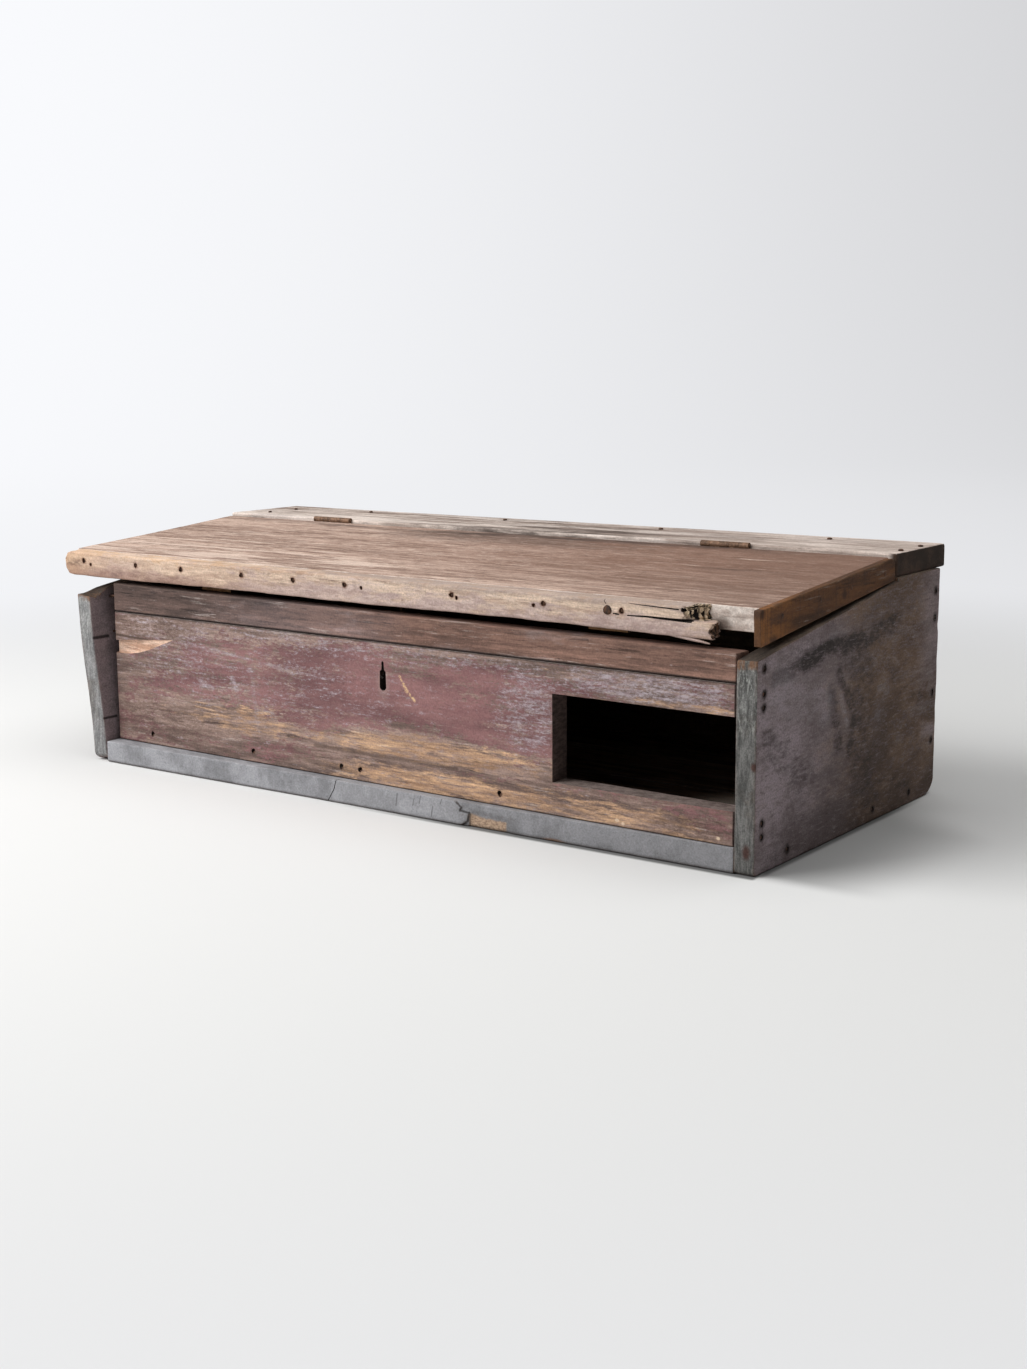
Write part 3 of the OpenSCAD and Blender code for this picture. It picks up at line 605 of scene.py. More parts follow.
behind_low, behind_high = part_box("bottom_rear_board")
behind_us = lines(behind_low.x, behind_high.x, 9 * mm, arris=1.5 * mm)
behind_vs = lines(behind_low.y, behind_high.y, 9 * mm, arris=1.5 * mm)
aged_board("bottom_rear_aged", ("chest", "grey_paint_wood", "bottom_rear_board"),
           board_mesh(behind_us, behind_vs, bottom_ws, 1.2 * mm),
           grey_edge, 0.5, 1.2, grain_along_x, 2.0)


# End boards
# One wide board each, grain front to back, sawn to the lid's slope and shouldered under the rear board.
# Mauve-grey paint outside, grey on the front edges, dirty inside. The left one has sprung outwards.
left_lean = math.radians(5.2)
shoulder_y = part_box("rear_board")[0].y
end_low, end_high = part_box("right_end_board")
end_t = end_high.x - end_low.x
end_front_h = 203 * mm
shoulder_h = 245.5 * mm
shoulder_step = 0.1 * mm
end_arris = 1.8 * mm
grain_along_y = (60.0, 4.0, 60.0)


def end_top(y):
    """Height of an end board's top edge: the lid's slope up to the shoulder, then level."""
    return np.interp(y, [end_low.y, shoulder_y - shoulder_step, shoulder_y + shoulder_step, end_high.y],
                     [end_front_h, shoulder_h, end_high.z, end_high.z])


def end_foot(y, front_r, back_r):
    """Height of its worn foot, rounded at both ends."""
    from_front = np.clip(1 - (y - end_low.y) / front_r, 0, 1)
    from_back = np.clip(1 - (end_high.y - y) / back_r, 0, 1)
    return front_r * (1 - np.sqrt(1 - from_front**2)) + back_r * (1 - np.sqrt(1 - from_back**2))


def loose_parts(node):
    """The separate solids of a CAD node, each as its points."""
    shell = bmesh.new()
    shell.from_mesh(frame["nodes"][node].data)
    bmesh.ops.remove_doubles(shell, verts=shell.verts, dist=0.001 * mm)
    unseen = set(shell.verts)
    parts = []
    while unseen:
        edge = [unseen.pop()]
        part = []
        while edge:
            vert = edge.pop()
            part.append(vert.co.copy())
            for link in vert.link_edges:
                other = link.other_vert(vert)
                if other in unseen:
                    unseen.remove(other)
                    edge.append(other)
        parts.append(np.array(part))
    shell.free()
    return sorted(parts, key=lambda p: tuple(p.mean(0).round(4)))


def driven_heads(node, aim, near=0.01 * mm):
    """Where a CAD node's fasteners come to the surface: the middle of each one's points nearest to it."""
    heads = []
    for part in loose_parts(node):
        reach = part @ np.array(aim)
        heads.append(Vector(part[reach > reach.max() - near].mean(0)))
    return heads


def sunk(places, aim, depth):
    """Places moved into the wood, by a depth in millimetres."""
    return [p - Vector(aim) * (depth * mm) for p in places]


def ring(centre, normal, radius, count=14, lumps=0.0):
    """Points round a centre, square to a normal, on a circle or on a lumpy one of its own shape."""
    turn = Vector(normal).to_track_quat("Z", "Y")
    own = 1000.0 * sum(centre)
    points = []
    for a in np.linspace(0, 2 * math.pi, count, endpoint=False):
        r = radius * (1 + lumps * (math.sin(2 * a + own) + 0.6 * math.sin(3 * a + 2.3 * own)))
        points.append(Vector(centre) + turn @ Vector((r * math.cos(a), r * math.sin(a), 0)))
    return points


def nail_pits(places, outward, mouth, floor, deep, lumps=0.16):
    """Cutters for the pits that nail heads have sunk into, with sizes in millimetres."""
    out = Vector(outward).normalized()
    return [loft([ring(at - out * (deep * mm), out, floor * mm), ring(at, out, mouth * mm, lumps=lumps),
                  ring(at + out * 3 * mm, out, mouth * mm * 1.1, lumps=lumps)]) for at in places]


def mauve_end_finish(name, seed, outer, edge_tones, smears, scrapes, kerfs):
    """outer is the sign of X on the outside face, edge_tones the front edge's darkest and lightest."""
    f = Finish(name, across=True)
    wood = f.wood((112, 95, 86), (70, 58, 53), seed)
    worn = f.worn(0.6, seed)
    cloud = f.grain((8, 18, 18), 8, 0.72)
    fine = f.streaks((300, 90, 420), 5, 0.7)
    scuff = f.streaks((150, 48, 120), 8, 0.8)
    brush = f.grain((60, 360, 360), 6, 0.74)
    crackle = f.streaks((240, 240, 45), 6, 0.72)
    flaked = f.streaks((330, 330, 90), 6, 0.74)
    sawn = f.grain((10, 130, 130), 7, 0.75)
    shift = (cloud - 0.5) * 400
    height = f.z + shift
    mauve = cloud.tones(0.38, 0.62, (110, 97, 97), (147, 134, 138))
    brown = cloud.tones(0.38, 0.62, (88, 70, 58), (118, 96, 80))
    outside = f.coats(
        mauve,
        ((f.y + shift).fade(-110, 50), brown),
        (f.y.fade(140, 190) * height.fade(70, 150) * 0.7, mauve),
        ((1.0 - worn["Paint"]) * 0.5, wood["Color"]),
        (worn["Rim"] * 0.22, (146, 136, 142)),
        (height.fade(120, 10) * 0.4, (60, 49, 45)),
        (scuff.fade(0.52, 0.66) * 0.4, (62, 52, 49)),
        (scuff.fade(0.46, 0.32) * 0.3, (140, 130, 134)),
        (f.broken(f.strokes(smears, 1.2), scuff), (46, 39, 37)),
        (f.broken(f.strokes(scrapes, 1.2), scuff), (158, 148, 152)),
        (fine.fade(0.56, 0.7) * 0.35, (66, 57, 55)),
        (brush.fade(0.53, 0.64) * 0.38, (150, 138, 143)),
        (brush.fade(0.46, 0.36) * 0.4, (72, 61, 58)))
    nail_rust = f.patches([spot(point(441, -206, 22), 5, through, 8, 0.9),
                           spot(point(448, -206, 104), 4, through, 5, 0.9)], 0.9)
    edge = f.coats(
        crackle.tones(0.36, 0.64, *edge_tones),
        (flaked.fade(0.5, 0.6) * height.fade(120, 190) * 0.45, (176, 178, 173)),
        (flaked.fade(0.44, 0.34) * 0.45, (56, 54, 52)),
        (cloud.fade(0.52, 0.66) * 0.35, (86, 74, 64)),
        (nail_rust, (66, 42, 36)),
        ((f.z + shift * 0.1).fade(192, 199) * crackle.fade(0.36, 0.56) * 0.9, (112, 80, 58)))
    brushed = cloud.tones(0.35, 0.65, (112, 100, 102), (144, 129, 131))
    brushed = f.mix(fine.fade(0.55, 0.68) * 0.3, brushed, (156, 142, 142))
    inside = f.coats(
        wood["Color"],
        (cloud.fade(0.35, 0.65) * 0.45, (130, 110, 94)),
        ((f.y + shift * 0.2).fade(-150, -172), brushed))
    # The top edges are coloured dark as painted shade under the lid and cleat, and darker still towards the
    # front.
    top = sawn.tones(0.38, 0.62, (60, 51, 46), (112, 97, 84))
    top = f.mix(f.y.fade(-150, -180) * 0.7, top, (36, 30, 26))
    colour = f.coats(
        inside,
        (f.towards("X", outer), outside),
        (f.towards("Z", 1), top),
        (f.towards("Y", -1), edge),
        (f.strokes(kerfs, 0.5), (34, 28, 27)),
        (f.mark("wear") * crackle.fade(0.4, 0.58) * 0.85, (102, 73, 54)),
        (f.rust(crackle, 0.9), (40, 30, 27)))
    return f.done(colour, wood["Height"] * 0.7 + worn["Paint"] * 0.3, 0.4, 0.78, 1.6)


def runs(on_face, rows):
    """Strokes on a face, from rows of both ends, width and strength in millimetres."""
    return [(on_face(a, b), on_face(c, d), width * mm, strength) for a, b, c, d, width, strength in rows]


def on_right(y, z):
    return Vector((end_high.x, y * mm, z * mm))


right_smears = runs(on_right, [
    (-172, 181, -99, 190, 12, 0.85), (-112, 188, -55, 198, 14, 1.0), (-60, 198, 18, 194, 16, 0.9),
    (18, 194, 100, 206, 14, 0.8), (-54, 150, -34, 96, 13, 0.75), (-38, 168, -16, 142, 9, 0.75),
    (-16, 142, 0, 122, 11, 0.8), (0, 124, -8, 84, 12, 0.75), (10, 170, 25, 20, 44, 0.6),
    (40, 30, 120, 20, 30, 0.5), (-186, 124, -110, 80, 22, 0.55), (60, 170, 150, 120, 30, 0.4)])
right_scrapes = runs(on_right, [
    (-33, 146, -17, 114, 7, 0.5), (-60, 208, -16, 209, 5, 0.45), (70, 136, 54, 108, 20, 0.3),
    (-165, 168, -70, 140, 30, 0.5)])
right_kerfs = runs(on_right, [(-203, 214, -170, 209, 1.5, 0.7)])
right_aim = (1, 0, 0)
right_heads = driven_heads("right_end_nails", right_aim)
right_pits = nail_pits(sunk(right_heads, right_aim, 1.2), right_aim, 2.8, 2.2, 2.0)
shoulder_lines = (shoulder_y - shoulder_step, shoulder_y + shoulder_step)
right_us = (end_low.y, end_high.y, 5 * mm, *shoulder_lines,
            *(end_high.y - np.array([3, 6, 9, 13, 18]) * mm))
end_vs = (0.0, end_high.z, 5 * mm)
end_ws = (0.0, end_t, 3.6 * mm)
notches = [(186 * mm, 4 * mm, 2.2 * mm), (150 * mm, 7 * mm, 1.4 * mm), (96 * mm, 10 * mm, 1.2 * mm)]
notch_reach = 6 * mm


def right_end_place(y, v, w):
    foot = end_foot(y, 4 * mm, 22 * mm)
    z = foot + (end_top(y) - foot) * v / end_high.z
    back = np.clip((y - end_high.y + notch_reach) / notch_reach, 0, 1)
    bitten = sum(deep * np.exp(-(((z - at) / tall) ** 2)) for at, tall, deep in notches)
    return end_low.x + w, y - back * bitten, z


aged_board("right_end_aged", ("chest", "mauve_paint_wood", "right_end_board"),
           board_mesh(right_us, end_vs, end_ws, end_arris, right_end_place),
           mauve_end_finish("mauve_paint_right", 5.0, 1, ((72, 72, 70), (112, 111, 109)),
                            right_smears, right_scrapes, right_kerfs),
           0.5, 1.6, grain_along_y, 5.0, cuts=[(right_pits, dark_split)], rust=[(right_heads, 8)])

left_aim = tuple(Matrix.Rotation(-left_lean, 3, "Y") @ Vector((-1, 0, 0)))
left_heads = driven_heads("left_end_nails", left_aim)


def lean_out(x, y, z):
    """Points in the left board's own upright frame, brought to its outward lean."""
    cos, sin = math.cos(left_lean), math.sin(left_lean)
    return -end_high.x + x * cos - z * sin, y, x * sin + z * cos


gnawed_deep, gnawed_at, gnawed_reach = 7 * mm, 10 * mm, 13 * mm


def left_end_place(y, v, w):
    foot = end_foot(y, 12 * mm, 12 * mm)
    shorter = end_t * math.sin(left_lean)
    top = (end_top(y) - shorter) / math.cos(left_lean)
    z = foot + (top - foot) * v / end_high.z
    gnawed = gnawed_deep * np.exp(-(((y - end_low.y - gnawed_at) / gnawed_reach) ** 2))
    gnawed = gnawed * np.clip(w / end_t * 1.3, 0.25, 1)
    z = z - gnawed * np.clip((v - end_high.z * 0.9) / (end_high.z * 0.1), 0, 1)
    wave = 1.4 * mm * np.sin(z / (31 * mm)) * np.clip((end_low.y + 8 * mm - y) / (8 * mm), 0, 1)
    return lean_out(w, y + wave, z)


def on_left(y, z, x=0.0):
    return lean_out(x, y * mm, z * mm)


left_smears = runs(on_left, [(-120, 150, 90, 120, 24, 0.5)])
left_scrapes = runs(on_left, [(-60, 90, 40, 60, 10, 0.35)])
left_kerfs = [(on_left(-206, z, end_t), on_left(-184, z, end_t), wide * mm, 0.9)
              for z, wide in ((147.5, 2.4), (50.0, 2.0), (205.0, 3.0))]
left_us = (end_low.y, end_high.y, 5 * mm, *shoulder_lines, *(end_low.y + np.array([5, 9]) * mm))
aged_board("left_end_aged", ("chest", "mauve_paint_wood", "left_end_board"),
           board_mesh(left_us, end_vs, end_ws, end_arris, left_end_place),
           mauve_end_finish("mauve_paint_left", 9.0, -1, ((106, 106, 106), (147, 146, 146)),
                            left_smears, left_scrapes, left_kerfs),
           0.5, 2.4, grain_along_y, 9.0, rust=[(left_heads, 7)])


# Back boards
# Two unpainted boards stand on the bottom between the ends, the lower one narrower, edge to edge.
# Nails through the end boards hold them. Outside they have greyed, inside they have darkened.
def raw_board_finish(name, front_tone_and_painted_light, across=False):
    f = Finish(name, across)
    wood = f.wood((136, 112, 90), (86, 68, 55), 2.0)
    cloud = f.grain((5, 16, 16), 6, 0.65)
    colour = f.coats(
        wood["Color"],
        (f.towards("Y", 1) * 0.5, cloud.tones(0.35, 0.65, (100, 90, 82), (132, 120, 108))),
        # Faces that look forward take the given tone: darker on the back boards, and light on the battens,
        # where it is painted light on front ends that sit in shade.
        (f.towards("Y", -1) * 0.7, front_tone_and_painted_light),
        (cloud.fade(0.55, 0.72) * 0.5, (66, 53, 45)),
        (f.rust(cloud, 0.7), (62, 42, 34)))
    return f.done(colour, wood["Height"], 0.5, 0.82)


raw_board = raw_board_finish("raw_wood", (52, 42, 36))
lean_slope = math.tan(left_lean)
back_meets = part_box("back_upper_board")[0].z + 0.8 * mm
for name, seed in (("back_lower", 11.0), ("back_upper", 12.0)):
    low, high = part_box(name + "_board")
    foot_left = low.x + lean_slope * high.z

    def back_place(u, z, w):
        left = foot_left - lean_slope * z
        return left + (high.x - left) * u, low.y + w, z

    back_us = lines(0.0, high.x - low.x, 8 * mm, arris=1.5 * mm) / (high.x - low.x)
    back_vs = (low.z, max(high.z, back_meets), 7 * mm)
    back_ws = (0.0, high.y - low.y, 4 * mm)
    aged_board(name + "_aged", ("chest", "raw_wood", name + "_board"),
               board_mesh(back_us, back_vs, back_ws, 1.5 * mm, back_place, rounded=False),
               raw_board, 0.6, 1.5, grain_along_x, seed)


# Front board and the strip above it
# The front board has a notch at its right end for an opening, a keyhole, and a chip split off its left end.
# A narrow strip closes the front above it. Maroon paint, rubbed back to ground and wood.
front_low, front_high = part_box("front_board")
front_t = 25 * mm
front_len = front_high.x - front_low.x
front_turn = math.asin((front_high.y - front_low.y - front_t) / front_len)
front_corner = Vector((front_high.x - front_t * math.sin(front_turn), front_low.y, 0))
front_arris = 1.2 * mm
opening_w = 208 * mm
opening_low, opening_high = front_low.z + 34 * mm, front_low.z + 124 * mm


def at_front(x, y, z):
    """Points in the front boards' own frame, from their right front corner, brought to their turn."""
    cos, sin = math.cos(front_turn), math.sin(front_turn)
    return front_corner.x + x * cos + y * sin, front_corner.y - x * sin + y * cos, z + 0 * x


def front_point(x, y, z):
    return Vector(at_front(x * mm, y * mm, z * mm))


def on_front(x, z):
    return front_point(x, 0, z)


def front_spots(*rows):
    """Patches on the front, from rows of place, reach sideways and upwards, and strength."""
    return [spot(on_front(x, z), wide, through, tall, strength) for x, z, wide, tall, strength in rows]


def red_front_finish():
    f = Finish("maroon_paint_front")
    grimy = f.wood((150, 127, 117), (102, 84, 77), 4.0)
    ochre = f.wood((206, 168, 134), (150, 118, 94), 5.0)
    cloud = f.streaks((7, 7, 26), 7)
    speck = f.streaks((110, 110, 300), 6, 0.72)
    rubbed = f.streaks((36, 36, 240), 6, 0.72)
    scuff = f.streaks((44, 44, 300), 8, 0.76) * 0.58 + f.streaks((210, 210, 380), 6, 0.76) * 0.42
    red_here = f.patches(front_spots(
        (-525, 118, 235, 52, 0.22), (-300, 122, 150, 56, 0.22), (-30, 48, 50, 22, 0.12)), 1.2)
    bare_here = f.patches(front_spots(
        (-370, 70, 200, 17, 0.25), (-350, 36, 200, 17, 0.26), (-140, 36, 120, 18, 0.2),
        (-640, 72, 130, 20, 0.18), (-45, 30, 60, 7, 0.16), (-55, 153, 60, 5, 0.2)), 1.2)
    worn = f.worn(red_here + 0.42 - bare_here, 1.0)
    red = cloud.tones(0.36, 0.64, (105, 71, 73), (140, 100, 100))
    wood_shows = (bare_here * 3.0 + (rubbed - 0.5) * 3.2).fade(0.25, 1.0)
    pale = speck.tones(0.36, 0.64, (140, 126, 130), (182, 172, 178))
    pale_here = f.patches(front_spots(
        (-96, 166, 130, 20, 1.0), (-240, 128, 52, 52, 0.85), (-480, 172, 380, 14, 0.6),
        (-760, 150, 110, 40, 0.5), (-590, 120, 240, 55, 0.4)), 1.2)
    chalked = (scuff - (0.565 - pale_here * 0.11)).fade(-0.02, 0.1)
    grimed = f.patches(front_spots(
        (-520, 50, 150, 9, 0.25), (-50, 36, 60, 14, 0.75), (-200, 32, 80, 9, 0.25),
        (-780, 56, 120, 26, 0.75), (-800, 166, 100, 18, 0.8)), 1.4)
    bare_flecks = f.patches(front_spots(
        (-130.5, 31.7, 2.2, 1.6, 0.9), (-123.3, 29.2, 1.9, 1.6, 0.9), (-16.3, 31.2, 2.2, 1.6, 0.9)), 1.2)
    keyhole_rim = f.patches(front_spots((-429.5, 136, 9, 16, 0.5)), 0.6)
    seams = f.strongest([f.z.fade(27.2, 25.6), f.z.fade(178.2, 179.4), f.x.fade(425.4, 426.4)])
    pale_scratch = f.strokes(runs(on_front, [
        (-740, 152, -683, 148.5, 4.0, 0.5), (-683, 148.5, -624, 142.6, 2.6, 0.65),
        (-612, 141, -563, 136, 2.8, 0.5), (-548, 135, -500, 133, 2.8, 0.4),
        (-628, 141, -623, 108, 4.5, 0.4), (-623, 108, -617, 64, 4.5, 0.45),
        (-708, 110, -690, 104, 5.0, 0.7), (-656, 118, -650, 106, 5.0, 0.7)]), 1.6)
    tan_scratch = f.strokes(runs(on_front, [
        (-406, 146, -403, 142, 2.0, 0.8), (-400.5, 138, -396, 131, 3.4, 0.85),
        (-393, 129, -391, 126.5, 1.8, 0.7), (-388.5, 125, -386, 122, 2.2, 0.85)]), 2.4)
    dark_streak = f.strokes(runs(on_front, [
        (-530, 57, -330, 56.5, 3.0, 0.6), (-560, 40, -470, 34, 3.0, 0.45),
        (-854, 152.5, -796, 150.5, 1.7, 0.9)]), 1.0)
    colour = f.coats(
        grimy["Color"],
        (wood_shows, ochre["Color"]),
        (worn["Paint"] * 0.9, red),
        (chalked * 0.75, pale),
        (speck.fade(0.43, 0.3) * 0.45, (74, 58, 54)),
        (grimed * scuff.fade(0.6, 0.4), (80, 62, 55)),
        (bare_flecks, (214, 190, 164)),
        (keyhole_rim, (152, 130, 124)),
        (seams * 0.85, (34, 26, 24)),
        (f.broken(pale_scratch, scuff), pale),
        (f.broken(tan_scratch, f.streaks((260, 260, 420), 5, 0.75)), (214, 178, 136)),
        (dark_streak, (78, 62, 54)),
        (f.rust(speck, 0.7), (62, 42, 36)),
        (f.mark("wear") * speck.fade(0.4, 0.6) * 0.5, (126, 102, 86)),
        (f.towards("X", 1), speck.tones(0.4, 0.6, (62, 51, 48), (88, 74, 69))),
        (f.towards("Y", 1), grimy["Color"]),
        (f.towards("Z", 1) * 0.9, speck.tones(0.38, 0.62, (92, 81, 76), (128, 115, 109))))
    return f.done(colour, grimy["Height"] * 0.6 + worn["Paint"] * 0.4, 0.35, 0.75)


def front_strip_finish():
    f = Finish("brown_paint_strip")
    # The left half is darker wood as a painted shadow of the lid; the right half has the strip's own colour.
    left = f.wood((90, 72, 66), (60, 48, 44), 6.0)
    right = f.wood((122, 93, 81), (84, 63, 55), 6.0)
    speck = f.streaks((110, 110, 300), 6, 0.72)
    cloud = f.streaks((8, 8, 30), 6)
    colour = f.coats(
        left["Color"],
        ((f.x + (cloud - 0.5) * 800).fade(-330, 80), right["Color"]),
        (cloud.fade(0.54, 0.66) * 0.3, (150, 138, 138)),
        (f.patches(front_spots((-540, 195, 140, 30, 0.25)), 1.2), (116, 104, 106)),
        (speck.fade(0.64, 0.72) * 0.5, (176, 164, 160)),
        (speck.fade(0.42, 0.3) * 0.35, (74, 58, 54)),
        (f.mark("wear") * speck.fade(0.4, 0.6) * 0.5, (120, 98, 84)),
        (f.z.fade(183.2, 181.8) * 0.85, (34, 26, 24)))
    # Brighter below the top edge: painted light, so that the upper part stays darker as the lip's shade.
    painted_light_below = f.z.fade(198, 186) * 0.42 + 1.06
    return f.done(f.scaled(colour, painted_light_below), left["Height"], 0.35, 0.76)


key_x, key_z, key_top = -429.5, 133, 160
key_r, key_half, key_neck = 4.5, 1.5, 18.0
key_shoulder, key_shoulder_h = 0.4, 1.6
key_outline = [(key_r * math.sin(a), -key_r * math.cos(a))
               for a in np.linspace(-math.pi / 2, math.pi / 2, 13)]
key_outline += [(key_r - key_shoulder, key_neck - key_shoulder_h), (key_half + key_shoulder, key_neck)]
key_outline += [(key_half * math.cos(a), key_top - key_z - key_half + key_half * math.sin(a))
                for a in np.linspace(0, math.pi, 9)]
key_outline += [(-key_half - key_shoulder, key_neck), (key_shoulder - key_r, key_neck - key_shoulder_h)]
keyhole_cut = loft([
    [front_point(key_x + x, y, key_z + key_neck * min(1, z / key_neck) + max(0, z - key_neck) * rise)
     for x, z in key_outline] for y, rise in ((-5, 1.0), (3.5, 1.0), (4.5, 0.04), (30, 0.04))])
bare_split = torn_wood_finish("bare_split_wood", (222, 192, 172), (176, 140, 118))
chip_tip = (-752, 154)
chip_edge = [(-775, 152.3), (-803, 149.9), (-842, 146.5), (-858, 145.6), (-858, 130.8), (-842, 130.6),
             (-826, 131.6), (-810, 134.3), (-796, 138.2), (-782, 143), (-770, 147.5)]
chip_deep, chip_long, chip_clear = 5.0, 96, 6
chip_cut = loft([
    [front_point(x, (chip_tip[0] - x) / chip_long * chip_deep * deep - (0 if deep else chip_clear), z)
     for x, z in [chip_tip, *chip_edge]] for deep in (1, 0)])
front_out = front_point(0, -1000, 0) - front_point(0, 0, 0)
toe_spots = [on_front(x, 38) for x in (-274.4, -464.4, -491.7, -626.3, -793.3)]
toe_pits = nail_pits(toe_spots, front_out, 2.9, 2.5, 6)
front_us = (-front_len, 0.0, 4.5 * mm, -opening_w)
front_vs = (front_low.z, front_high.z, 4.5 * mm, opening_low, opening_high)
front_ws = lines(0.0, front_t, 4 * mm, arris=front_arris)
aged_board("front_board_aged", ("chest", "red_paint_wood", "front_board"),
           board_mesh(front_us, front_vs, front_ws, front_arris, lambda x, z, y: at_front(x, y, z),
                      lambda x, z: ~((x > -opening_w) & (z > opening_low) & (z < opening_high))),
           red_front_finish(), 0.5, 1.2, grain_along_x, 14.0,
           cuts=[([keyhole_cut], dark_split), ([chip_cut], bare_split), (toe_pits, dark_split)],
           rust=[(toe_spots, 5)])

strip_low, strip_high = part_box("front_strip")
strip_h_left, strip_h_right = strip_high.z - strip_low.z, 27.5 * mm


def strip_place(x, v, y):
    top = strip_h_right + (strip_h_left - strip_h_right) * -x / front_len
    return at_front(x, y, strip_low.z + v / strip_h_left * top)


strip_us = (-front_len, 0.0, 4.5 * mm)
strip_vs = (0.0, strip_h_left, 4 * mm)
aged_board("front_strip_aged", ("chest", "red_paint_wood", "front_strip"),
           board_mesh(strip_us, strip_vs, front_ws, 1.4 * mm, strip_place),
           front_strip_finish(), 0.5, 1.6, grain_along_x, 15.0)


# Rear board
# A fixed board along the top at the back, nailed down into both ends and the back, that the lid hangs from.
# Never painted on top: greyed and streaked, with an almost black sawn end.
def end_grain_tree():
    """The sawn end of a board: yearly rings round a pith that lies outside it, and open pores."""
    net, given, result = new_tree(
        "Shader", "end_grain", {"Vector": "Vector", "Pith": "Vector", "Light": "Color", "Dark": "Color"},
        {"Color": "Color"})
    away = net.vector("MULTIPLY", net.vector("SUBTRACT", given["Vector"], given["Pith"]), (0.0, 1.0, 1.0))
    wander = net.noise(given["Vector"], 26, 3, 0.6) * (6 * mm)
    year = net.math("FRACT", (net.vector("LENGTH", away) + wander) / (4.2 * mm))
    pores = net.noise(given["Vector"], 620, 4, 0.7)
    colour = net.mix(year.fade(0.35, 0.95) * pores.fade(0.7, 0.4), given["Light"], given["Dark"])
    net.put(net.scaled(colour, pores * 0.9 + 0.5), result["Color"])
    return net.tree


end_grain = end_grain_tree()


def sawn_end(f, pith, light, dark):
    """The coat of end grain on the sawn left end of a board."""
    rings = f.group(end_grain, {"Vector": f.coords, "Pith": pith, "Light": light, "Dark": dark})
    return f.towards("X", -1) * 0.85, rings["Color"]


def top_spots(*rows):
    """Patches on a board's top, from rows of place, reach sideways and front to back, and strength."""
    return [spot(point(x, y, z), wide, deep, through, strength) for x, y, z, wide, deep, strength in rows]


def rear_board_finish():
    f = Finish("greyed_rear_board")
    wood = f.wood((212, 198, 188), (124, 106, 96), 7.0)
    cloud = f.streaks((5, 34, 34), 7, 0.7)
    grime = f.patches(top_spots(
        (40, 102, 274, 220, 14, 0.9), (40, 150, 274, 130, 34, 0.85), (200, 160, 274, 90, 18, 0.8),
        (-130, 205, 274, 130, 22, 0.8)), 1.2)
    # The front face by the right end is coloured like the sawn end as painted shade, in the gap between the
    # lid and this board.
    corner = f.towards("Y", -1) * f.x.fade(436, 444)
    colour = f.coats(
        wood["Color"],
        (cloud.fade(0.52, 0.66) * 0.6, (204, 194, 188)),
        (cloud.fade(0.48, 0.36) * 0.5, (100, 81, 70)),
        (f.x.fade(80, 220) * 0.3, (206, 190, 180)),
        (grime * cloud.fade(0.6, 0.42), (70, 58, 52)),
        (f.strongest([f.towards("X", 1), corner]), cloud.tones(0.4, 0.6, (44, 33, 26), (66, 50, 41))),
        (f.towards("Z", -1) * 0.5, (96, 82, 72)),
        sawn_end(f, point(0, 172, 215), (196, 182, 170), (122, 104, 92)),
        (f.rust(cloud, 0.7), (66, 46, 38)))
    return f.done(colour, wood["Height"], 0.6, 0.82)


hinge_nodes = ("left_hinge", "right_hinge")
hinge_axis = Vector(next(j for j in frame["joints"] if j["name"] == "lid_hinge")["pos_m"])
hinge_spans = [[end.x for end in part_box(hinge + "_fixed_leaf")] for hinge in hinge_nodes]
leaf_deep = 21.5 * mm
leaf_back = 2.75 * mm
barrel_room = 4.0 * mm
gain_play = 0.5 * mm


def hinge_gain(span, toward):
    """Cutter for a hinge's pocket: a slot for the leaf and a groove for the barrel. toward is +1 behind
    the pin and -1 before it."""
    stop = -toward * 3 * mm
    outline = [(toward * leaf_back, -leaf_deep), (toward * leaf_back, -barrel_room)]
    outline += [(toward * barrel_room * math.cos(a), barrel_room * math.sin(a))
                for a in np.linspace(-0.8, 1.5, 8)]
    outline += [(stop, barrel_room), (stop, -leaf_deep)]
    return loft([[(x, hinge_axis.y + y, hinge_axis.z + z) for y, z in outline]
                 for x in (span[0] - gain_play, span[1] + gain_play)])


rear_aim = (0, 0, 1)
rear_heads = driven_heads("rear_board_nails", rear_aim)
rear_low, rear_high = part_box("rear_board")
rear_steps = (4.5 * mm, 4.5 * mm, 4 * mm)
aged_board("rear_board_aged", ("chest", "pale_wood", "rear_board"),
           board_mesh(*zip(rear_low, rear_high, rear_steps), 2.2 * mm),
           rear_board_finish(), 0.9, 2.0, grain_along_x, 16.0,
           cuts=[([hinge_gain(span, 1) for span in hinge_spans], dark_split)], rust=[(rear_heads, 6)])


# Carcass nails
# Iron nails with small round heads, through the end boards into front, bottom and back, slanting through
# the front board into the bottom, and down through the rear board. All are rusted dark.
def iron_finish(name, metallic, blotches, grits, tone_span, tones, rust_span, rust, roughness, lift, depth):
    """Old iron: dark and brown blotches, with grains of rust. rust is a strength and a colour, roughness
    its change over the blotches and its least."""
    f = Finish(name)
    blotch = f.noise(f.coords, blotches, 6, 0.65)
    grit = f.noise(f.coords, grits, 4, 0.6)
    colour = f.mix(grit.fade(*rust_span) * rust[0], blotch.tones(*tone_span, *tones), rust[1])
    f.put(metallic, f.shader["Metallic"])
    return f.done(colour, blotch + grit * lift, depth, blotch * roughness[0] + roughness[1])


rusty_iron = iron_finish("rusty_iron", 0.25, 160, 900, (0.36, 0.6), ((48, 38, 34), (92, 64, 48)),
                         (0.56, 0.7), (0.7, (124, 76, 46)), (0.35, 0.5), 0.5, 0.25)


def rod(net, sides, radius, length, drop):
    """A shank of which the middle stands at a height."""
    shank = net.node("GeometryNodeMeshCylinder", {"Vertices": sides, "Radius": radius, "Depth": length})
    return net.node("GeometryNodeTransform", {"Geometry": shank, "Translation": net.xyz(0.0, 0.0, drop)})


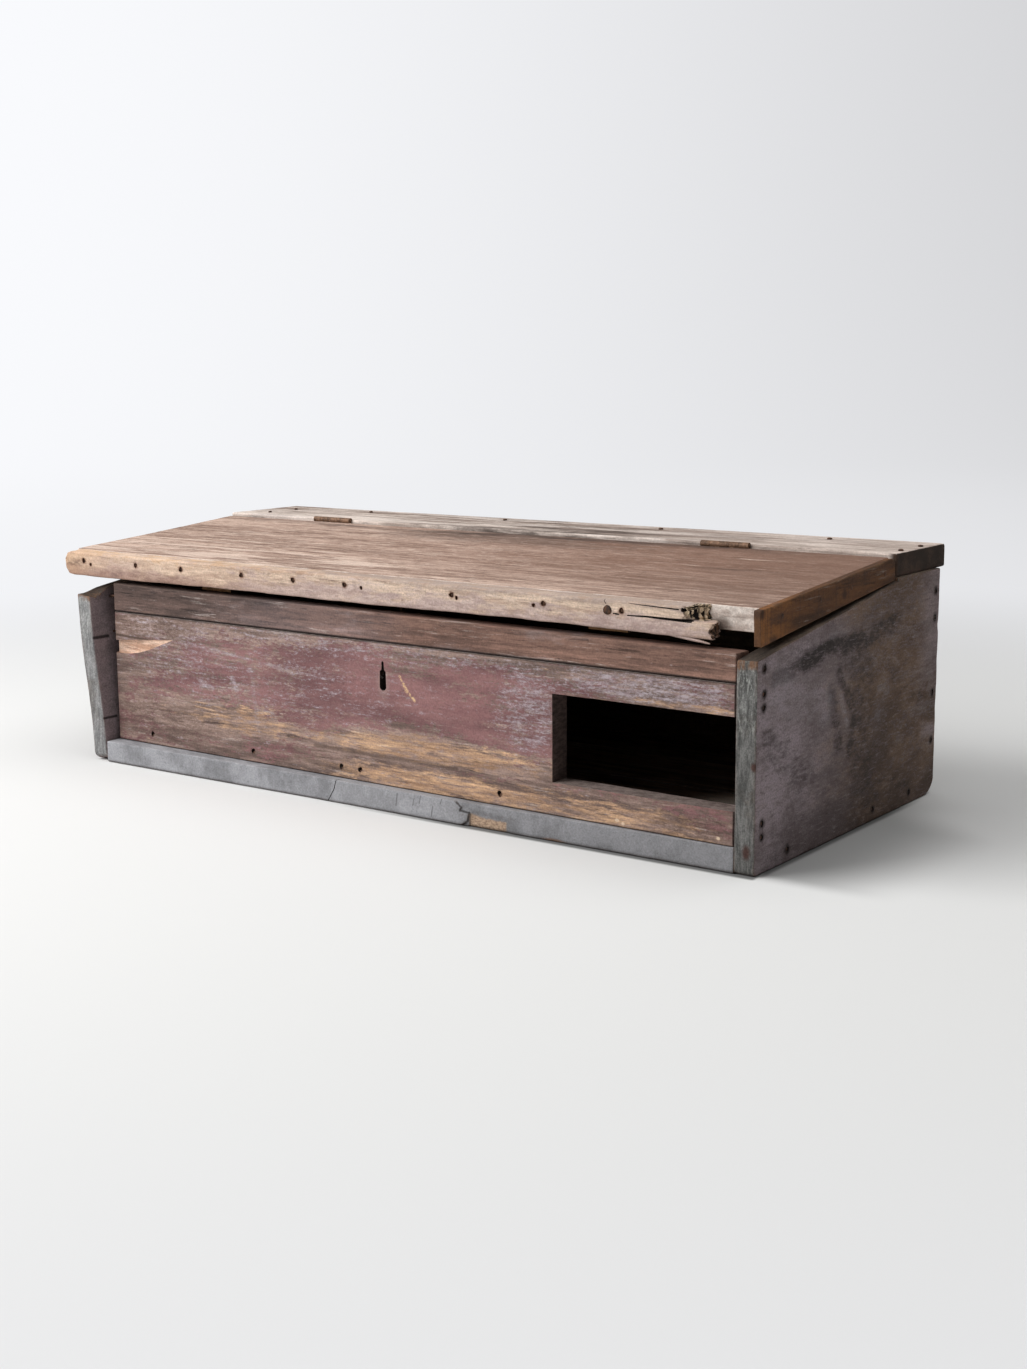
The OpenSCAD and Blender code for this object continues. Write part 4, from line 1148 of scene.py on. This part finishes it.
def set_on_points(net, points, forms, own_turn=None, **settings):
    """Joins the forms of a fastener and sets a copy on each point, turned to the point's aim."""
    fastener = net.add("GeometryNodeJoinGeometry")
    for form in forms:
        net.put(form, fastener.inputs[0])
    aim = net.node("GeometryNodeInputNamedAttribute", {"Name": "aim"}, data_type="FLOAT_VECTOR")
    turn = net.node("FunctionNodeAlignRotationToVector", {"Vector": aim}, axis="Z")
    if own_turn:
        turn = net.node("FunctionNodeRotateRotation", {0: turn, 1: own_turn}, rotation_space="LOCAL")
    copies = net.node("GeometryNodeInstanceOnPoints", {
        "Points": points, "Instance": Value(net, fastener.outputs[0]), "Rotation": turn, **settings})
    return net.node("GeometryNodeRealizeInstances", {"Geometry": copies})


def nail_tree():
    """Nails on points, each with a squashed head, a shank against its aim and its own small lumps."""
    net, given, result = new_tree(
        "Geometry", "driven_nails",
        {"Geometry": "Geometry", "Head Radius": "Float", "Head Height": "Float", "Shank Radius": "Float",
         "Shank Length": "Float", "Lumps": "Float", "Seed": "Float", "Iron": "Material"},
        {"Geometry": "Geometry"})
    ball = net.node("GeometryNodeMeshUVSphere", {"Segments": 14, "Rings": 9, "Radius": 1.0})
    flat = net.xyz(given["Head Radius"], given["Head Radius"], given["Head Height"])
    head = net.node("GeometryNodeTransform", {"Geometry": ball, "Scale": flat})
    shank = rod(net, 8, given["Shank Radius"], given["Shank Length"], given["Shank Length"] * -0.5)
    size = net.node("GeometryNodeInputNamedAttribute", {"Name": "size"}, data_type="FLOAT")
    real = set_on_points(net, given["Geometry"], [head, shank], Scale=net.xyz(size, size, 1.0))
    lump = net.seeded(net.node("GeometryNodeInputPosition"), given["Seed"], 420, 2, "Color")
    shake = net.lengthened(net.vector("SUBTRACT", lump, (0.5, 0.5, 0.5)), given["Lumps"])
    moved = net.node("GeometryNodeSetPosition", {"Geometry": real, "Offset": shake})
    net.put(net.node("GeometryNodeSetMaterial", {"Geometry": moved, "Material": given["Iron"]}), result[0])
    return net.tree


driven_nails = nail_tree()


def fasteners(name, body, node, tree, places, aim, inputs, sizes=()):
    """A group of like fasteners as one mesh, from their head places and the way that they point out."""
    mesh = bpy.data.meshes.new(name)
    mesh.from_pydata([tuple(p) for p in places], [], [])
    mesh.attributes.new("aim", "FLOAT_VECTOR", "POINT").data.foreach_set("vector", list(aim) * len(places))
    if sizes:
        mesh.attributes.new("size", "FLOAT", "POINT").data.foreach_set("value", sizes)
    group = add_object(name, mesh)
    grow(group, tree, {**inputs, "Iron": rusty_iron})
    make_plain(group)
    stands_for(group, body, "rusty_iron", node)
    return group


def nails(name, body, node, places, aim, head_r, head_h, length, seed, sizes=()):
    """Nails with sizes in millimetres, their heads a little unlike each other."""
    sizes = sizes or [1.0 + 0.12 * math.sin(7.0 * k + seed) for k in range(len(places))]
    smooth(fasteners(name, body, node, driven_nails, places, aim, {
        "Head Radius": head_r * mm, "Head Height": head_h * mm, "Shank Radius": 1.5 * mm,
        "Shank Length": length * mm, "Lumps": 0.5 * mm, "Seed": seed}, sizes), 50)


head_r, head_h, nail_l = 2.7, 0.9, 52
toe_slant = math.radians(40)
toe_way = Vector((0, -math.cos(toe_slant), math.sin(toe_slant)))
toe_aim = tuple(Matrix.Rotation(-front_turn, 3, "Z") @ toe_way)
nails("right_nails_aged", "chest", "right_end_nails", sunk(right_heads, right_aim, 2.8), right_aim,
      2.2, head_h, nail_l, 1.0)
nails("left_nails_aged", "chest", "left_end_nails", sunk(left_heads, left_aim, 1.3), left_aim,
      head_r, head_h, nail_l, 2.0)
nails("front_nails_aged", "chest", "front_nails", driven_heads("front_nails", toe_aim), toe_aim,
      2.4, head_h, 47, 3.0)
nails("rear_board_nails_aged", "chest", "rear_board_nails", sunk(rear_heads, rear_aim, 0.4), rear_aim,
      head_r, 1.3, nail_l, 4.0)


# Lock
# A sprung box lock of folded sheet iron, screwed to the inner faces of the front boards. Its bolt slides
# sideways through the staple's eye. It is out of sight while the lid is shut.
def give_finish(finish, *nodes):
    for node in nodes:
        frame["nodes"][node].data.materials.clear()
        frame["nodes"][node].data.materials.append(finish)


lock_iron = iron_finish("lock_iron", 0.5, 90, 700, (0.38, 0.62), ((58, 52, 50), (96, 74, 58)),
                        (0.58, 0.72), (0.6, (126, 80, 50)), (0.4, 0.4), 0.4, 0.15)
give_finish(lock_iron, "lock_case", "lock_bolt", "lock_spring", "lid_staple")


# Hinges
# Two wrought butt hinges: leaves let into the rear board and the lid's rear edge with three screws each,
# five knuckles turning on a loose iron pin. Rusted brown, with brighter grains of rust.
hinge_iron = iron_finish("hinge_iron", 0.25, 120, 900, (0.38, 0.62), ((86, 66, 52), (132, 104, 84)),
                         (0.56, 0.7), (0.6, (138, 86, 52)), (0.35, 0.45), 0.4, 0.2)
for hinge in hinge_nodes:
    give_finish(hinge_iron, hinge + "_fixed_leaf", hinge + "_lid_leaf", hinge + "_pin")


def screw_tree():
    """Countersunk screws on points: a cone head with a sawn slot over a plain shank."""
    net, given, result = new_tree(
        "Geometry", "slotted_screws",
        {"Geometry": "Geometry", "Head Radius": "Float", "Shank Radius": "Float", "Length": "Float",
         "Slot Width": "Float", "Slot Depth": "Float", "Iron": "Material"},
        {"Geometry": "Geometry"})
    rise = given["Head Radius"] - given["Shank Radius"]
    cone = net.node("GeometryNodeMeshCone", {"Vertices": 16, "Radius Top": given["Head Radius"],
                                             "Radius Bottom": given["Shank Radius"], "Depth": rise})
    head = net.node("GeometryNodeTransform",
                    {"Geometry": cone, "Translation": net.xyz(0.0, 0.0, rise * -1.0)})
    bar_size = net.xyz(given["Head Radius"] * 3.0, given["Slot Width"], given["Slot Depth"] * 2.0)
    bar = net.node("GeometryNodeMeshCube", {"Size": bar_size})
    slotted = net.node("GeometryNodeMeshBoolean", {"Mesh 1": head, "Mesh 2": bar}, operation="DIFFERENCE")
    middle = given["Length"] * -0.5 - given["Slot Depth"]
    shank = rod(net, 8, given["Shank Radius"], given["Length"], middle)
    spin = net.node("FunctionNodeRandomValue", {"Max": 3.0, "Seed": 4}, 1, data_type="FLOAT")
    own_turn = net.node("FunctionNodeAxisAngleToRotation", {"Axis": (0.0, 0.0, 1.0), "Angle": spin})
    real = set_on_points(net, given["Geometry"], [slotted, shank], own_turn)
    net.put(net.node("GeometryNodeSetMaterial", {"Geometry": real, "Material": given["Iron"]}), result[0])
    return net.tree


slotted_screws = screw_tree()


def screws(node, body, aim, length):
    fasteners(node + "_aged", body, node, slotted_screws, driven_heads(node, aim), aim, {
        "Head Radius": 3.2 * mm, "Shank Radius": 1.6 * mm, "Length": length * mm, "Slot Width": 0.9 * mm,
        "Slot Depth": 0.8 * mm})


screws("hinge_fixed_screws", "chest", (0, -1, 0), 19)
screws("hinge_lid_screws", "lid", (0, 1, 0), 19)
screws("lock_screws", "chest", tuple(-front_out), 15)


# Lid board
# One wide weathered board, narrower towards the left, that slopes down from the hinges to the front.
# Bare wood, bleached at the left front and browner at the back right, its front edge pale where it shows,
# with a painted shadow beside the lip's broken end.
lid_low, lid_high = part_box("lid_board")
lid_t = 24 * mm
lid_slope = math.asin((lid_high.z - lid_low.z - lid_t) / (lid_high.y - lid_low.y))
lid_top = -2.5 * mm
lid_under = lid_top - lid_t
lid_rear = -1.2 * mm
lid_taper = 13 * mm
lid_reach = 280.8 * mm
lid_cup = 0.54 * mm
lip_turn = math.atan(lid_taper / (lid_high.x - lid_low.x))


def at_lid(x, y, z):
    """Points in the lid's own frame, from the hinge pin, brought to its slope at rest."""
    cos, sin = math.cos(lid_slope), math.sin(lid_slope)
    return x + 0 * y, hinge_axis.y + y * cos - z * sin, hinge_axis.z + y * sin + z * cos


def lid_point(x, y, z):
    return Vector(at_lid(x * mm, y * mm, z * mm))


def lid_front(x):
    """The lid board's front edge in its own frame, further back towards the left."""
    return -lid_reach + (lid_high.x - x) * math.tan(lip_turn)


def lid_place(x, v, w):
    rear = lid_rear + (w - lid_t) * math.tan(lid_slope)
    y = lid_front(x) + (rear - lid_front(x)) * v / lid_reach
    return at_lid(x, y, lid_under + w - lid_cup * np.cos((v / lid_reach - 0.5) * math.pi))


def lid_finish():
    f = Finish("weathered_lid")
    wood = f.wood((184, 158, 143), (130, 105, 92), 8.0)
    cloud = f.streaks((3.4, 24, 24), 8, 0.7)
    fleck = f.streaks((60, 300, 300), 5, 0.7)
    bleached = f.streaks((7, 90, 90), 7, 0.72)
    smear = f.streaks((34, 60, 80), 7, 0.74)
    side = f.x + (cloud - 0.5) * 900
    brown = side.fade(-300, 260) * f.y.fade(-210, 20)
    fleck_here = 0.5 - f.x.fade(-50, 300) * 0.36
    front_left = side.fade(250, -350) * f.y.fade(60, -160)
    grime = f.patches(top_spots(
        (80, 90, 270, 270, 18, 1.0), (-40, 83, 270, 500, 13, 0.6), (-150, 82, 270, 210, 16, 1.0),
        (-255, 84, 270, 90, 14, 0.6), (-30, 58, 268, 200, 34, 0.5), (330, -20, 258, 60, 5, 0.6)), 1.4)
    chalk_and_painted_shadow = f.coats(
        smear.tones(0.38, 0.6, (176, 160, 150), (222, 211, 202)),
        (smear.fade(0.55, 0.68) * 0.5, (140, 116, 102)),
        # A painted shadow of the lip's broken end on the pale front edge.
        (f.patches([spot(lid_point(398, -281, -21), 12, through, 8, 0.8)], 0.8), (92, 76, 66)))
    colour = f.coats(
        wood["Color"],
        (brown * 0.82, (120, 89, 74)),
        (side.fade(180, 430) * 0.4, (110, 84, 71)),
        (fleck.fade(0.53, 0.64) * fleck_here, (208, 187, 172)),
        (fleck.fade(0.46, 0.36) * 0.5, (104, 82, 70)),
        ((bleached - (0.6 - front_left * 0.15)).fade(0.0, 0.1) * 0.75, (212, 190, 175)),
        (grime * cloud.fade(0.66, 0.4), (70, 56, 50)),
        (f.towards("Y", -1), chalk_and_painted_shadow),
        (f.towards("Z", -1) * 0.6, (98, 76, 60)),
        sawn_end(f, point(0, -30, 160), (186, 160, 144), (126, 100, 86)))
    return f.done(colour, wood["Height"], 0.6, 0.82)


lid_us = (lid_low.x, lid_high.x, 4.2 * mm)
lid_vs = (0.0, lid_reach, 4.2 * mm)
lid_ws = (0.0, lid_t, 4 * mm)
aged_board("lid_board_aged", ("lid", "lid_wood", "lid_board"),
           board_mesh(lid_us, lid_vs, lid_ws, 1.6 * mm, lid_place),
           lid_finish(), 0.8, 1.0, (3.0, 75.0, 75.0), 21.0,
           cuts=[([hinge_gain(span, -1) for span in hinge_spans], dark_split)])


# Lid lip
# A pale strip nailed along the lid's front edge, its arrises rubbed round. Its right end has split along
# the grain and torn off in two steps, leaving a crack, broken fibres and a splinter that hangs below.
lip_len = (lid_high.x - lid_low.x) / math.cos(lip_turn)
lip_t = 19 * mm
lip_h = 29 * mm
lip_low = lid_top - lip_h
lip_arris = 2.4 * mm
split_at = 15.0 * mm
break_low, break_up = 41 * mm, 73 * mm
straight_share = 0.9


def at_lip(x, y, z):
    """Points in the lip's own frame, from its right end at the lid board's front edge."""
    cos, sin = math.cos(lip_turn), math.sin(lip_turn)
    return at_lid(lid_high.x + x * cos + y * sin, -lid_reach - x * sin + y * cos, z)


def lip_point(x, y, z):
    return Vector(at_lip(x * mm, y * mm, z * mm))


def torn(v, w):
    """Where the torn end stops at each height and depth, fibre by fibre."""
    fibre = np.sin(v / mm * 5.1 + 2.7 * np.sin(w / mm * 1.9)) + 0.7 * np.sin(v / mm * 11.3 + w / mm * 3.7)
    bite = 5 * mm * np.exp(-(((v - 8 * mm) / (3 * mm)) ** 2)) * np.clip(1 - w / (14 * mm), 0, 1)
    lower = -break_low - 3 * mm * w / lip_t + 1.2 * mm * fibre - bite
    upper = -break_up + 20 * mm * w / lip_t + 2.4 * mm * fibre
    return np.where(v < split_at, lower, upper)


def lip_place(u, v, w):
    """The lip: its front arrises and left end rubbed round, its edges worn wavy, its right end torn."""
    section = soften(np.column_stack([np.zeros_like(v), v, w]), np.array([-lip_arris, 0.0, 0.0]),
                     np.array([lip_arris, lip_h, lip_t + 2 * lip_arris]), lip_arris)
    close = np.clip(1 - u * lip_len / (9 * mm), 0, 1)
    pinch = 1 - (1 - np.sqrt(np.clip(1 - close**2, 0, 1))) * 0.55
    v = lip_h / 2 + (section[:, 1] - lip_h / 2) * pinch
    w = section[:, 2]
    x = -lip_len + (lip_len - break_up - 14 * mm) * np.minimum(u / straight_share, 1)
    x = np.where(u > straight_share, x + (torn(v, w) - x) * (u - straight_share) / (1 - straight_share), x)
    sag = 1.2 * mm * np.clip((x + 190 * mm) / (140 * mm), 0, 1) * (v < split_at)
    low = np.clip(1 - v / lip_h, 0, 1)
    worn = low * (0.5 * mm * np.sin(x / (61 * mm)) + 0.25 * mm * np.sin(x / (11.3 * mm) + 1.0) + 0.3 * mm)
    lifted = (1 - low) * 0.6 * mm * np.sin(x / (23 * mm) + 2.0)
    return at_lip(x, -lip_t + w, lip_low + v - sag + worn - np.abs(lifted))


def lip_finish():
    f = Finish("pale_lip")
    wood = f.wood((206, 183, 163), (160, 135, 119), 10.0)
    lid_normal = Vector((0, -math.sin(lid_slope), math.cos(lid_slope)))
    up = (f.vector("DOT_PRODUCT", f.coords, lid_normal) - hinge_axis.dot(lid_normal)) / mm
    shift = (f.streaks((14, 40, 60), 7, 0.7) - 0.5) * 100
    smear = f.streaks((46, 90, 170), 6, 0.72)
    mottled = f.streaks((24, 60, 70), 7, 0.76)
    strands = f.streaks((330, 330, 40), 4, 0.6)
    arris = f.mark("wear")
    lilac = smear.tones(0.36, 0.64, (162, 142, 138), (204, 186, 180))
    stain = f.patches([spot(lip_point(-926, -19, -15.5), 17, through, 5, 0.75),
                       spot(lip_point(-800, -19, -24), 90, through, 6, 0.3)], 1.6)
    left = (f.x + shift * 4).fade(0.0, -300)
    at_top = (up + shift * 0.3).fade(-8, -3.5)
    ochre_line = at_top * smear.fade(0.46, 0.58) * 0.5 * (left * 0.7 + 0.3)
    # Darker towards the lower edge, most at the left.
    darker_low_left = (up + shift * 0.5).fade(-8, -30) * (f.x.fade(-120, -320) * 0.65 + 0.35)
    torn_here = f.patches([spot(lip_point(-55, -8, -9), 19, through, 10, 1.0)], 0.3).fade(0.4, 0.6)
    torn_wood = strands.tones(0.47, 0.6, (20, 15, 13), (214, 190, 160))
    stub = strands.tones(0.4, 0.6, (38, 27, 22), (112, 84, 64))
    colour = f.coats(
        wood["Color"],
        ((up + shift * 1.2).fade(-8, -26) * 0.8, lilac),
        ((f.x + shift * 3).fade(0.0, -380) * 0.3, (224, 194, 168)),
        (mottled.fade(0.52, 0.62) * 0.5, (166, 146, 142)),
        (mottled.fade(0.46, 0.36) * 0.4, (226, 204, 184)),
        ((f.x + shift * 2).fade(-420, -500) * 0.4, (196, 154, 114)),
        (stain * smear.fade(0.62, 0.42), (104, 78, 66)),
        (smear.fade(0.58, 0.68) * 0.55, (128, 102, 88)),
        (f.math("SUBTRACT", at_top, left, True) * 0.75, (156, 140, 132)),
        (ochre_line, (198, 160, 122)))
    colour = f.coats(
        f.mix(darker_low_left, colour, (205, 190, 186), "MULTIPLY"),
        (arris * smear.fade(0.42, 0.6) * 0.5, (140, 106, 82)),
        (arris * smear.fade(0.45, 0.36) * 0.6, (222, 202, 178)),
        (torn_here, torn_wood),
        (f.x.fade(386, 392) * f.towards("X", 1), stub),
        (f.rust(smear, 0.8), (108, 72, 54)))
    return f.done(colour, wood["Height"], 0.45, 0.78)


rusty_split = torn_wood_finish("rusty_split_wood", (104, 70, 52), (56, 36, 28))
lip_aim = (lip_point(0, -1, 0) - lip_point(0, 0, 0)).normalized()
lip_heads = driven_heads("lip_nails", lip_aim, 10 * mm)
old_holes = [lip_point(x, -19, z) for x, z in ((-900, -16.5), (-470, -14), (-341, -15), (-244, -15))]
big_head = lip_point(-156, -19, -13)
lip_pits = nail_pits(sunk(lip_heads, lip_aim, 1.2), lip_aim, 2.8, 2.5, 1.8)
lip_pits += nail_pits(old_holes, lip_aim, 1.9, 1.4, 6)
lip_pits += nail_pits(sunk([big_head], lip_aim, 0.4), lip_aim, 4.9, 4.6, 1.6, 0.04)
crack_lines = [
    [(-149.8, -15.6, 0.7), (-146, -15.9, 1.1), (-142.5, -16.4, 0.7)],
    [(-133.5, -16.4, 0.8), (-112, -15.8, 1.2), (-88, -16.3, 1.6), (-62, -16.4, 2.2)],
    [(-132, -4.4, 0.3), (-104, -5.4, 0.7), (-75.5, -6.2, 0.9)]]
upright_crack = [(-157.5, -6.8, 0.9), (-159.5, -4.5, 0.7), (-160, -1.0, 0.5)]
lip_cracks = [loft([[lip_point(x, -22, z - half), lip_point(x, -22, z + half), lip_point(x, -10, z)]
                    for x, z, half in line]) for line in crack_lines]
lip_cracks.append(loft([[lip_point(x - half, -22, z), lip_point(x + half, -22, z), lip_point(x, -13, z)]
                        for x, z, half in upright_crack]))
lip_cracks += nail_pits([lip_point(-71, -19, -6.5)], lip_aim, 2.4, 1.8, 9)
lip_us = np.append(np.linspace(0, straight_share, 215), np.linspace(straight_share, 1.0, 22)[1:])
lip_vs = (0.0, lip_h, 2.2 * mm, *(split_at + np.array([-0.7, -0.2, 0.2, 0.7]) * mm))
lip_ws = (0.0, lip_t, 2.4 * mm)
lid_lip = aged_board(
    "lid_lip_aged", ("lid", "pale_wood", "lid_lip"),
    board_mesh(lip_us, lip_vs, lip_ws, lip_arris, lip_place, rounded=False),
    lip_finish(), 0.5, 2.2, grain_along_x, 22.0, bite_scale=60.0,
    cuts=[(lip_cracks, dark_split), (lip_pits, rusty_split)], rust=[(lip_heads, 6), (old_holes, 3.5)])


def add_form(piece, points, faces):
    """Adds a closed form to a finished piece."""
    shell = bmesh.new()
    shell.from_mesh(piece.data)
    verts = [shell.verts.new(p) for p in points]
    added = [shell.faces.new([verts[n] for n in face]) for face in faces]
    bmesh.ops.recalc_face_normals(shell, faces=added)
    shell.to_mesh(piece.data)
    shell.free()


splinter = [(-100, -29.8, 0.8, -18.0, -12.0), (-88, -31.2, 1.7, -18.6, -11.5),
            (-70, -33.3, 1.8, -18.7, -12.5), (-55, -35.1, 1.5, -18.3, -13.5), (-44, -36.7, 0.5, -17.6, -15.5)]
add_form(lid_lip, *loft([
    [lip_point(x, (front + back) / 2 + (back - front) / 2 * math.cos(a), z + half * math.sin(a))
     for a in np.linspace(0, 2 * math.pi, 8, endpoint=False)] for x, z, half, front, back in splinter]))


# End cleat
# A thin batten nailed over the lid's right end, sawn deeper towards the front. Golden brown, with upright
# saw marks, dark stains and a rubbed top arris.
def cleat_finish():
    f = Finish("golden_cleat", across=True)
    wood = f.wood((106, 69, 41), (58, 38, 26), 12.0)
    cloud = f.grain((14, 40, 40), 7, 0.7)
    saw = f.streaks((1, 230, 12), 3, 0.5)
    dark = f.patches([spot(lid_point(447, -122, -18.6), through, 6, 6, 0.7),
                      spot(lid_point(447, -292, -4), through, 7, 7, 0.8),
                      spot(lid_point(447, -269, -34), through, 6, 5, 0.6)], 1.2)
    colour = f.coats(
        wood["Color"],
        (0.4, (84, 56, 36)),
        ((f.y + (cloud - 0.5) * 200).fade(-110, -190) * 0.55, (154, 100, 52)),
        (cloud.fade(0.5, 0.64) * 0.6, (64, 46, 37)),
        (saw.fade(0.54, 0.66) * 0.35, (66, 48, 38)),
        (f.mark("wear") * cloud.fade(0.3, 0.55) * 0.5, (150, 116, 86)),
        (dark, (46, 32, 27)),
        (f.towards("Y", -1) * 0.7, (72, 50, 36)),
        (f.rust(cloud, 0.45), (56, 40, 33)))
    return f.done(colour, wood["Height"] + saw * 0.6, 0.45, 0.78)


cleat_low, cleat_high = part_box("lid_end_cleat")
cleat_front, cleat_rear = -294.1 * mm, -3.05 * mm
cleat_top = lid_top + 0.6 * mm
cleat_h_front, cleat_h_rear = 34.5 * mm, 24 * mm
cleat_corner = 9 * mm


def cleat_place(y, v, w):
    deep = np.interp(y, [cleat_front, cleat_rear], [cleat_h_front, cleat_h_rear])
    past = np.clip(1 - (cleat_rear - y) / cleat_corner, 0, 1)
    top = cleat_top - cleat_corner * (1 - np.sqrt(1 - past**2))
    under = cleat_top - deep
    return at_lid(cleat_low.x + w, y, under + (top - under) * v / cleat_h_front)


cleat_aim = (1, 0, 0)
cleat_heads = driven_heads("cleat_nails", cleat_aim)
cleat_us = (cleat_front, cleat_rear, 4 * mm, *(cleat_rear - np.array([2, 4, 6]) * mm))
cleat_vs = (0.0, cleat_h_front, 3 * mm)
cleat_ws = (0.0, cleat_high.x - cleat_low.x, 2.2 * mm)
aged_board("lid_cleat_aged", ("lid", "gold_wood", "lid_end_cleat"),
           board_mesh(cleat_us, cleat_vs, cleat_ws, 1.2 * mm, cleat_place),
           cleat_finish(), 0.4, 1.4, grain_along_y, 23.0, bite_scale=80.0,
           rust=[(cleat_heads, 4)])


# Lid battens
# Two flat battens across the lid's underside keep it from cupping. Their front ends rest on the front
# strip and show as two blocks in the dark gap below the lip, coloured light there as painted light.
battens_with_painted_light = raw_board_finish("raw_batten_wood", (206, 160, 118), across=True)
batten_t = 12 * mm
batten_under = lid_under - batten_t
batten_rear = lid_rear - 34 * mm
batten_us = lines(0.0, 1.0, 0.02)


def batten_place(v, x, w):
    return at_lid(x, lid_front(x) + (batten_rear - lid_front(x)) * v, batten_under + w)


for name, seed in (("lid_left_batten", 31.0), ("lid_right_batten", 32.0)):
    low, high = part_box(name)
    batten_vs = (low.x, high.x, 4 * mm)
    batten_ws = (0.0, batten_t, 3 * mm)
    aged_board(name + "_aged", ("lid", "raw_wood", name),
               board_mesh(batten_us, batten_vs, batten_ws, 1.2 * mm, batten_place, rounded=False),
               battens_with_painted_light, 0.5, 1.0, grain_along_y, seed)


# Lid nails and staple screws
# Nails through the lip, the cleat and the battens into the lid board, most of them rusted and sunk, and two
# screws that hold the lock's staple under the lid.
lip_sizes = [1.0, 0.9, 0.85, 1.15, 0.9, 0.9, 0.95, 1.0, 0.95]
big_size = 2.0
under_aim = tuple((lid_point(0, 0, -1) - lid_point(0, 0, 0)).normalized())
nails("lip_nails_aged", "lid", "lip_nails",
      sunk(lip_heads, lip_aim, 2.4) + sunk([big_head], lip_aim, 0.6), lip_aim,
      2.3, 1.0, 44, 5.0, lip_sizes + [big_size])
nails("cleat_nails_aged", "lid", "cleat_nails", sunk(cleat_heads, cleat_aim, 1.4), cleat_aim,
      2.4, 0.8, 34, 6.0)
nails("batten_nails_aged", "lid", "batten_nails",
      sunk(driven_heads("batten_nails", under_aim), under_aim, 0.8), under_aim,
      head_r, head_h, 24, 7.0)
screws("staple_screws", "lid", under_aim, 13)


# Studio
# A pale floor that sweeps up into a pale wall all round, soft light from the front left and above, and a
# camera in front of the chest's right half, a little above the lid.
def cove_mesh():
    """A round floor whose rim curves up into a wall."""
    flat_r, bend, wall, count = 6.0, 3.0, 3.0, 72
    profile = [(2.0, 0.0), (flat_r, 0.0)]
    profile += [(flat_r + bend * math.sin(a), bend * (1 - math.cos(a)))
                for a in np.linspace(0.1, math.pi / 2, 14)]
    profile.append((flat_r + bend, bend + wall))
    around = np.linspace(0, 2 * math.pi, count, endpoint=False)
    points = [(0.0, 0.0, 0.0)] + [(r * math.cos(a), r * math.sin(a), z) for r, z in profile for a in around]
    faces = [[0, 1 + k, 1 + (k + 1) % count] for k in range(count)]
    for start in range(1, len(points) - count, count):
        for k in range(count):
            after = (k + 1) % count
            faces.append([start + k, start + count + k, start + count + after, start + after])
    mesh = bpy.data.meshes.new("cove")
    mesh.from_pydata(points, [], faces)
    mesh.shade_smooth()
    return mesh


def cove_finish():
    """Matt white, with a painted shadow by the chest's right end and front foot. Further off, camera rays see
    a glowing haze, painted lighter at the left and darker at the right.
    """
    f = Finish("cove_paint")
    floor_white, black = (0.69, 0.69, 0.683, 1.0), (0.0, 0.0, 0.0, 1.0)
    # The floor's colour is darkened beside the chest's right end and at its front right foot: a painted
    # shadow and contact shadow.
    out_right = f.x - end_high.x / mm
    out_front = bottom_low.y / mm - f.y
    beside = out_front.fade(12, -20) * out_front.fade(-400, -310) * out_right.fade(-10, 0.0)
    further = out_front.fade(-230, -330) * 70
    soft_painted_shadow = (out_right + further).fade(150, 30) * 0.45
    tight_painted_shadow = out_right.fade(9, 2) * 0.35
    contact_shadow_along_foot = f.x.fade(-100, 150) * out_right.fade(6, 0.0)
    contact_shadow_near_foot = out_front.fade(11, 4) * out_front.fade(-60, -20) * 0.75
    painted_shadow = f.strongest([(soft_painted_shadow + tight_painted_shadow) * beside, contact_shadow_along_foot * contact_shadow_near_foot])
    f.put(f.mix(painted_shadow, floor_white, black), f.shader["Base Color"])
    f.put(1.0, f.shader["Roughness"])
    f.put(0.0, f.shader["Specular IOR Level"])
    # Further off, camera rays see a glowing haze, which lights nothing; its fall from light at the left to
    # darker at the right is painted light.
    across = f.vector("DOT_PRODUCT", f.coords, (0.81, 0.586, 0.0))
    painted_light_falloff = across.tones(-3.5, 6.5, (250, 251, 254), (196, 196, 198))
    haze = f.node("ShaderNodeEmission", {"Color": painted_light_falloff})
    seen = f.node("ShaderNodeLightPath", out="Is Camera Ray")
    far = f.vector("LENGTH", f.coords).fade(0.65, 2.0) * seen
    paint = Value(f, f.tree.nodes["Principled BSDF"].outputs[0])
    f.put(f.node("ShaderNodeMixShader", {0: far, 1: paint, 2: haze}),
          f.tree.nodes["Material Output"].inputs["Surface"])
    return f.material


cove = add_object("cove", cove_mesh())
cove.location.z = -0.4 * mm
cove.data.materials.append(cove_finish())

world = bpy.data.worlds.new("soft_daylight")
bpy.context.scene.world = world
world.use_nodes = True
daylight = world.node_tree.nodes["Background"].inputs
daylight["Color"].default_value = (1.0, 1.0, 1.0, 1.0)
daylight["Strength"].default_value = 0.22


def soft_lamp(name, place, target, size, power):
    lamp = bpy.data.lights.new(name, "AREA")
    lamp.size = size
    lamp.energy = power
    made = add_object(name, lamp)
    made.location = place
    made.rotation_euler = (Vector(target) - Vector(place)).to_track_quat("-Z", "Y").to_euler()


soft_lamp("window_left", (-1.9, -1.9, 2.2), (0, 0, 0.1), 2.6, 147.0)
soft_lamp("ceiling", (0.8, 0.3, 3.0), (0.4, 0, 0), 3.0, 46.0)

camera = add_object("camera", bpy.data.cameras.new("camera"))
yaw, pitch, roll = -0.626, 0.178, 0.006
turn = (Matrix.Rotation(-yaw, 4, "Z") @ Matrix.Rotation(math.pi / 2 - pitch, 4, "X")
        @ Matrix.Rotation(-roll, 4, "Z"))
camera.matrix_world = Matrix.Translation((1.2326, -1.6674, 0.4790)) @ turn
camera.data.sensor_width = 36.0
camera.data.lens = 48.23
camera.data.clip_end = 100.0
bpy.context.scene.camera = camera
bpy.context.scene.view_settings.view_transform = "Standard"
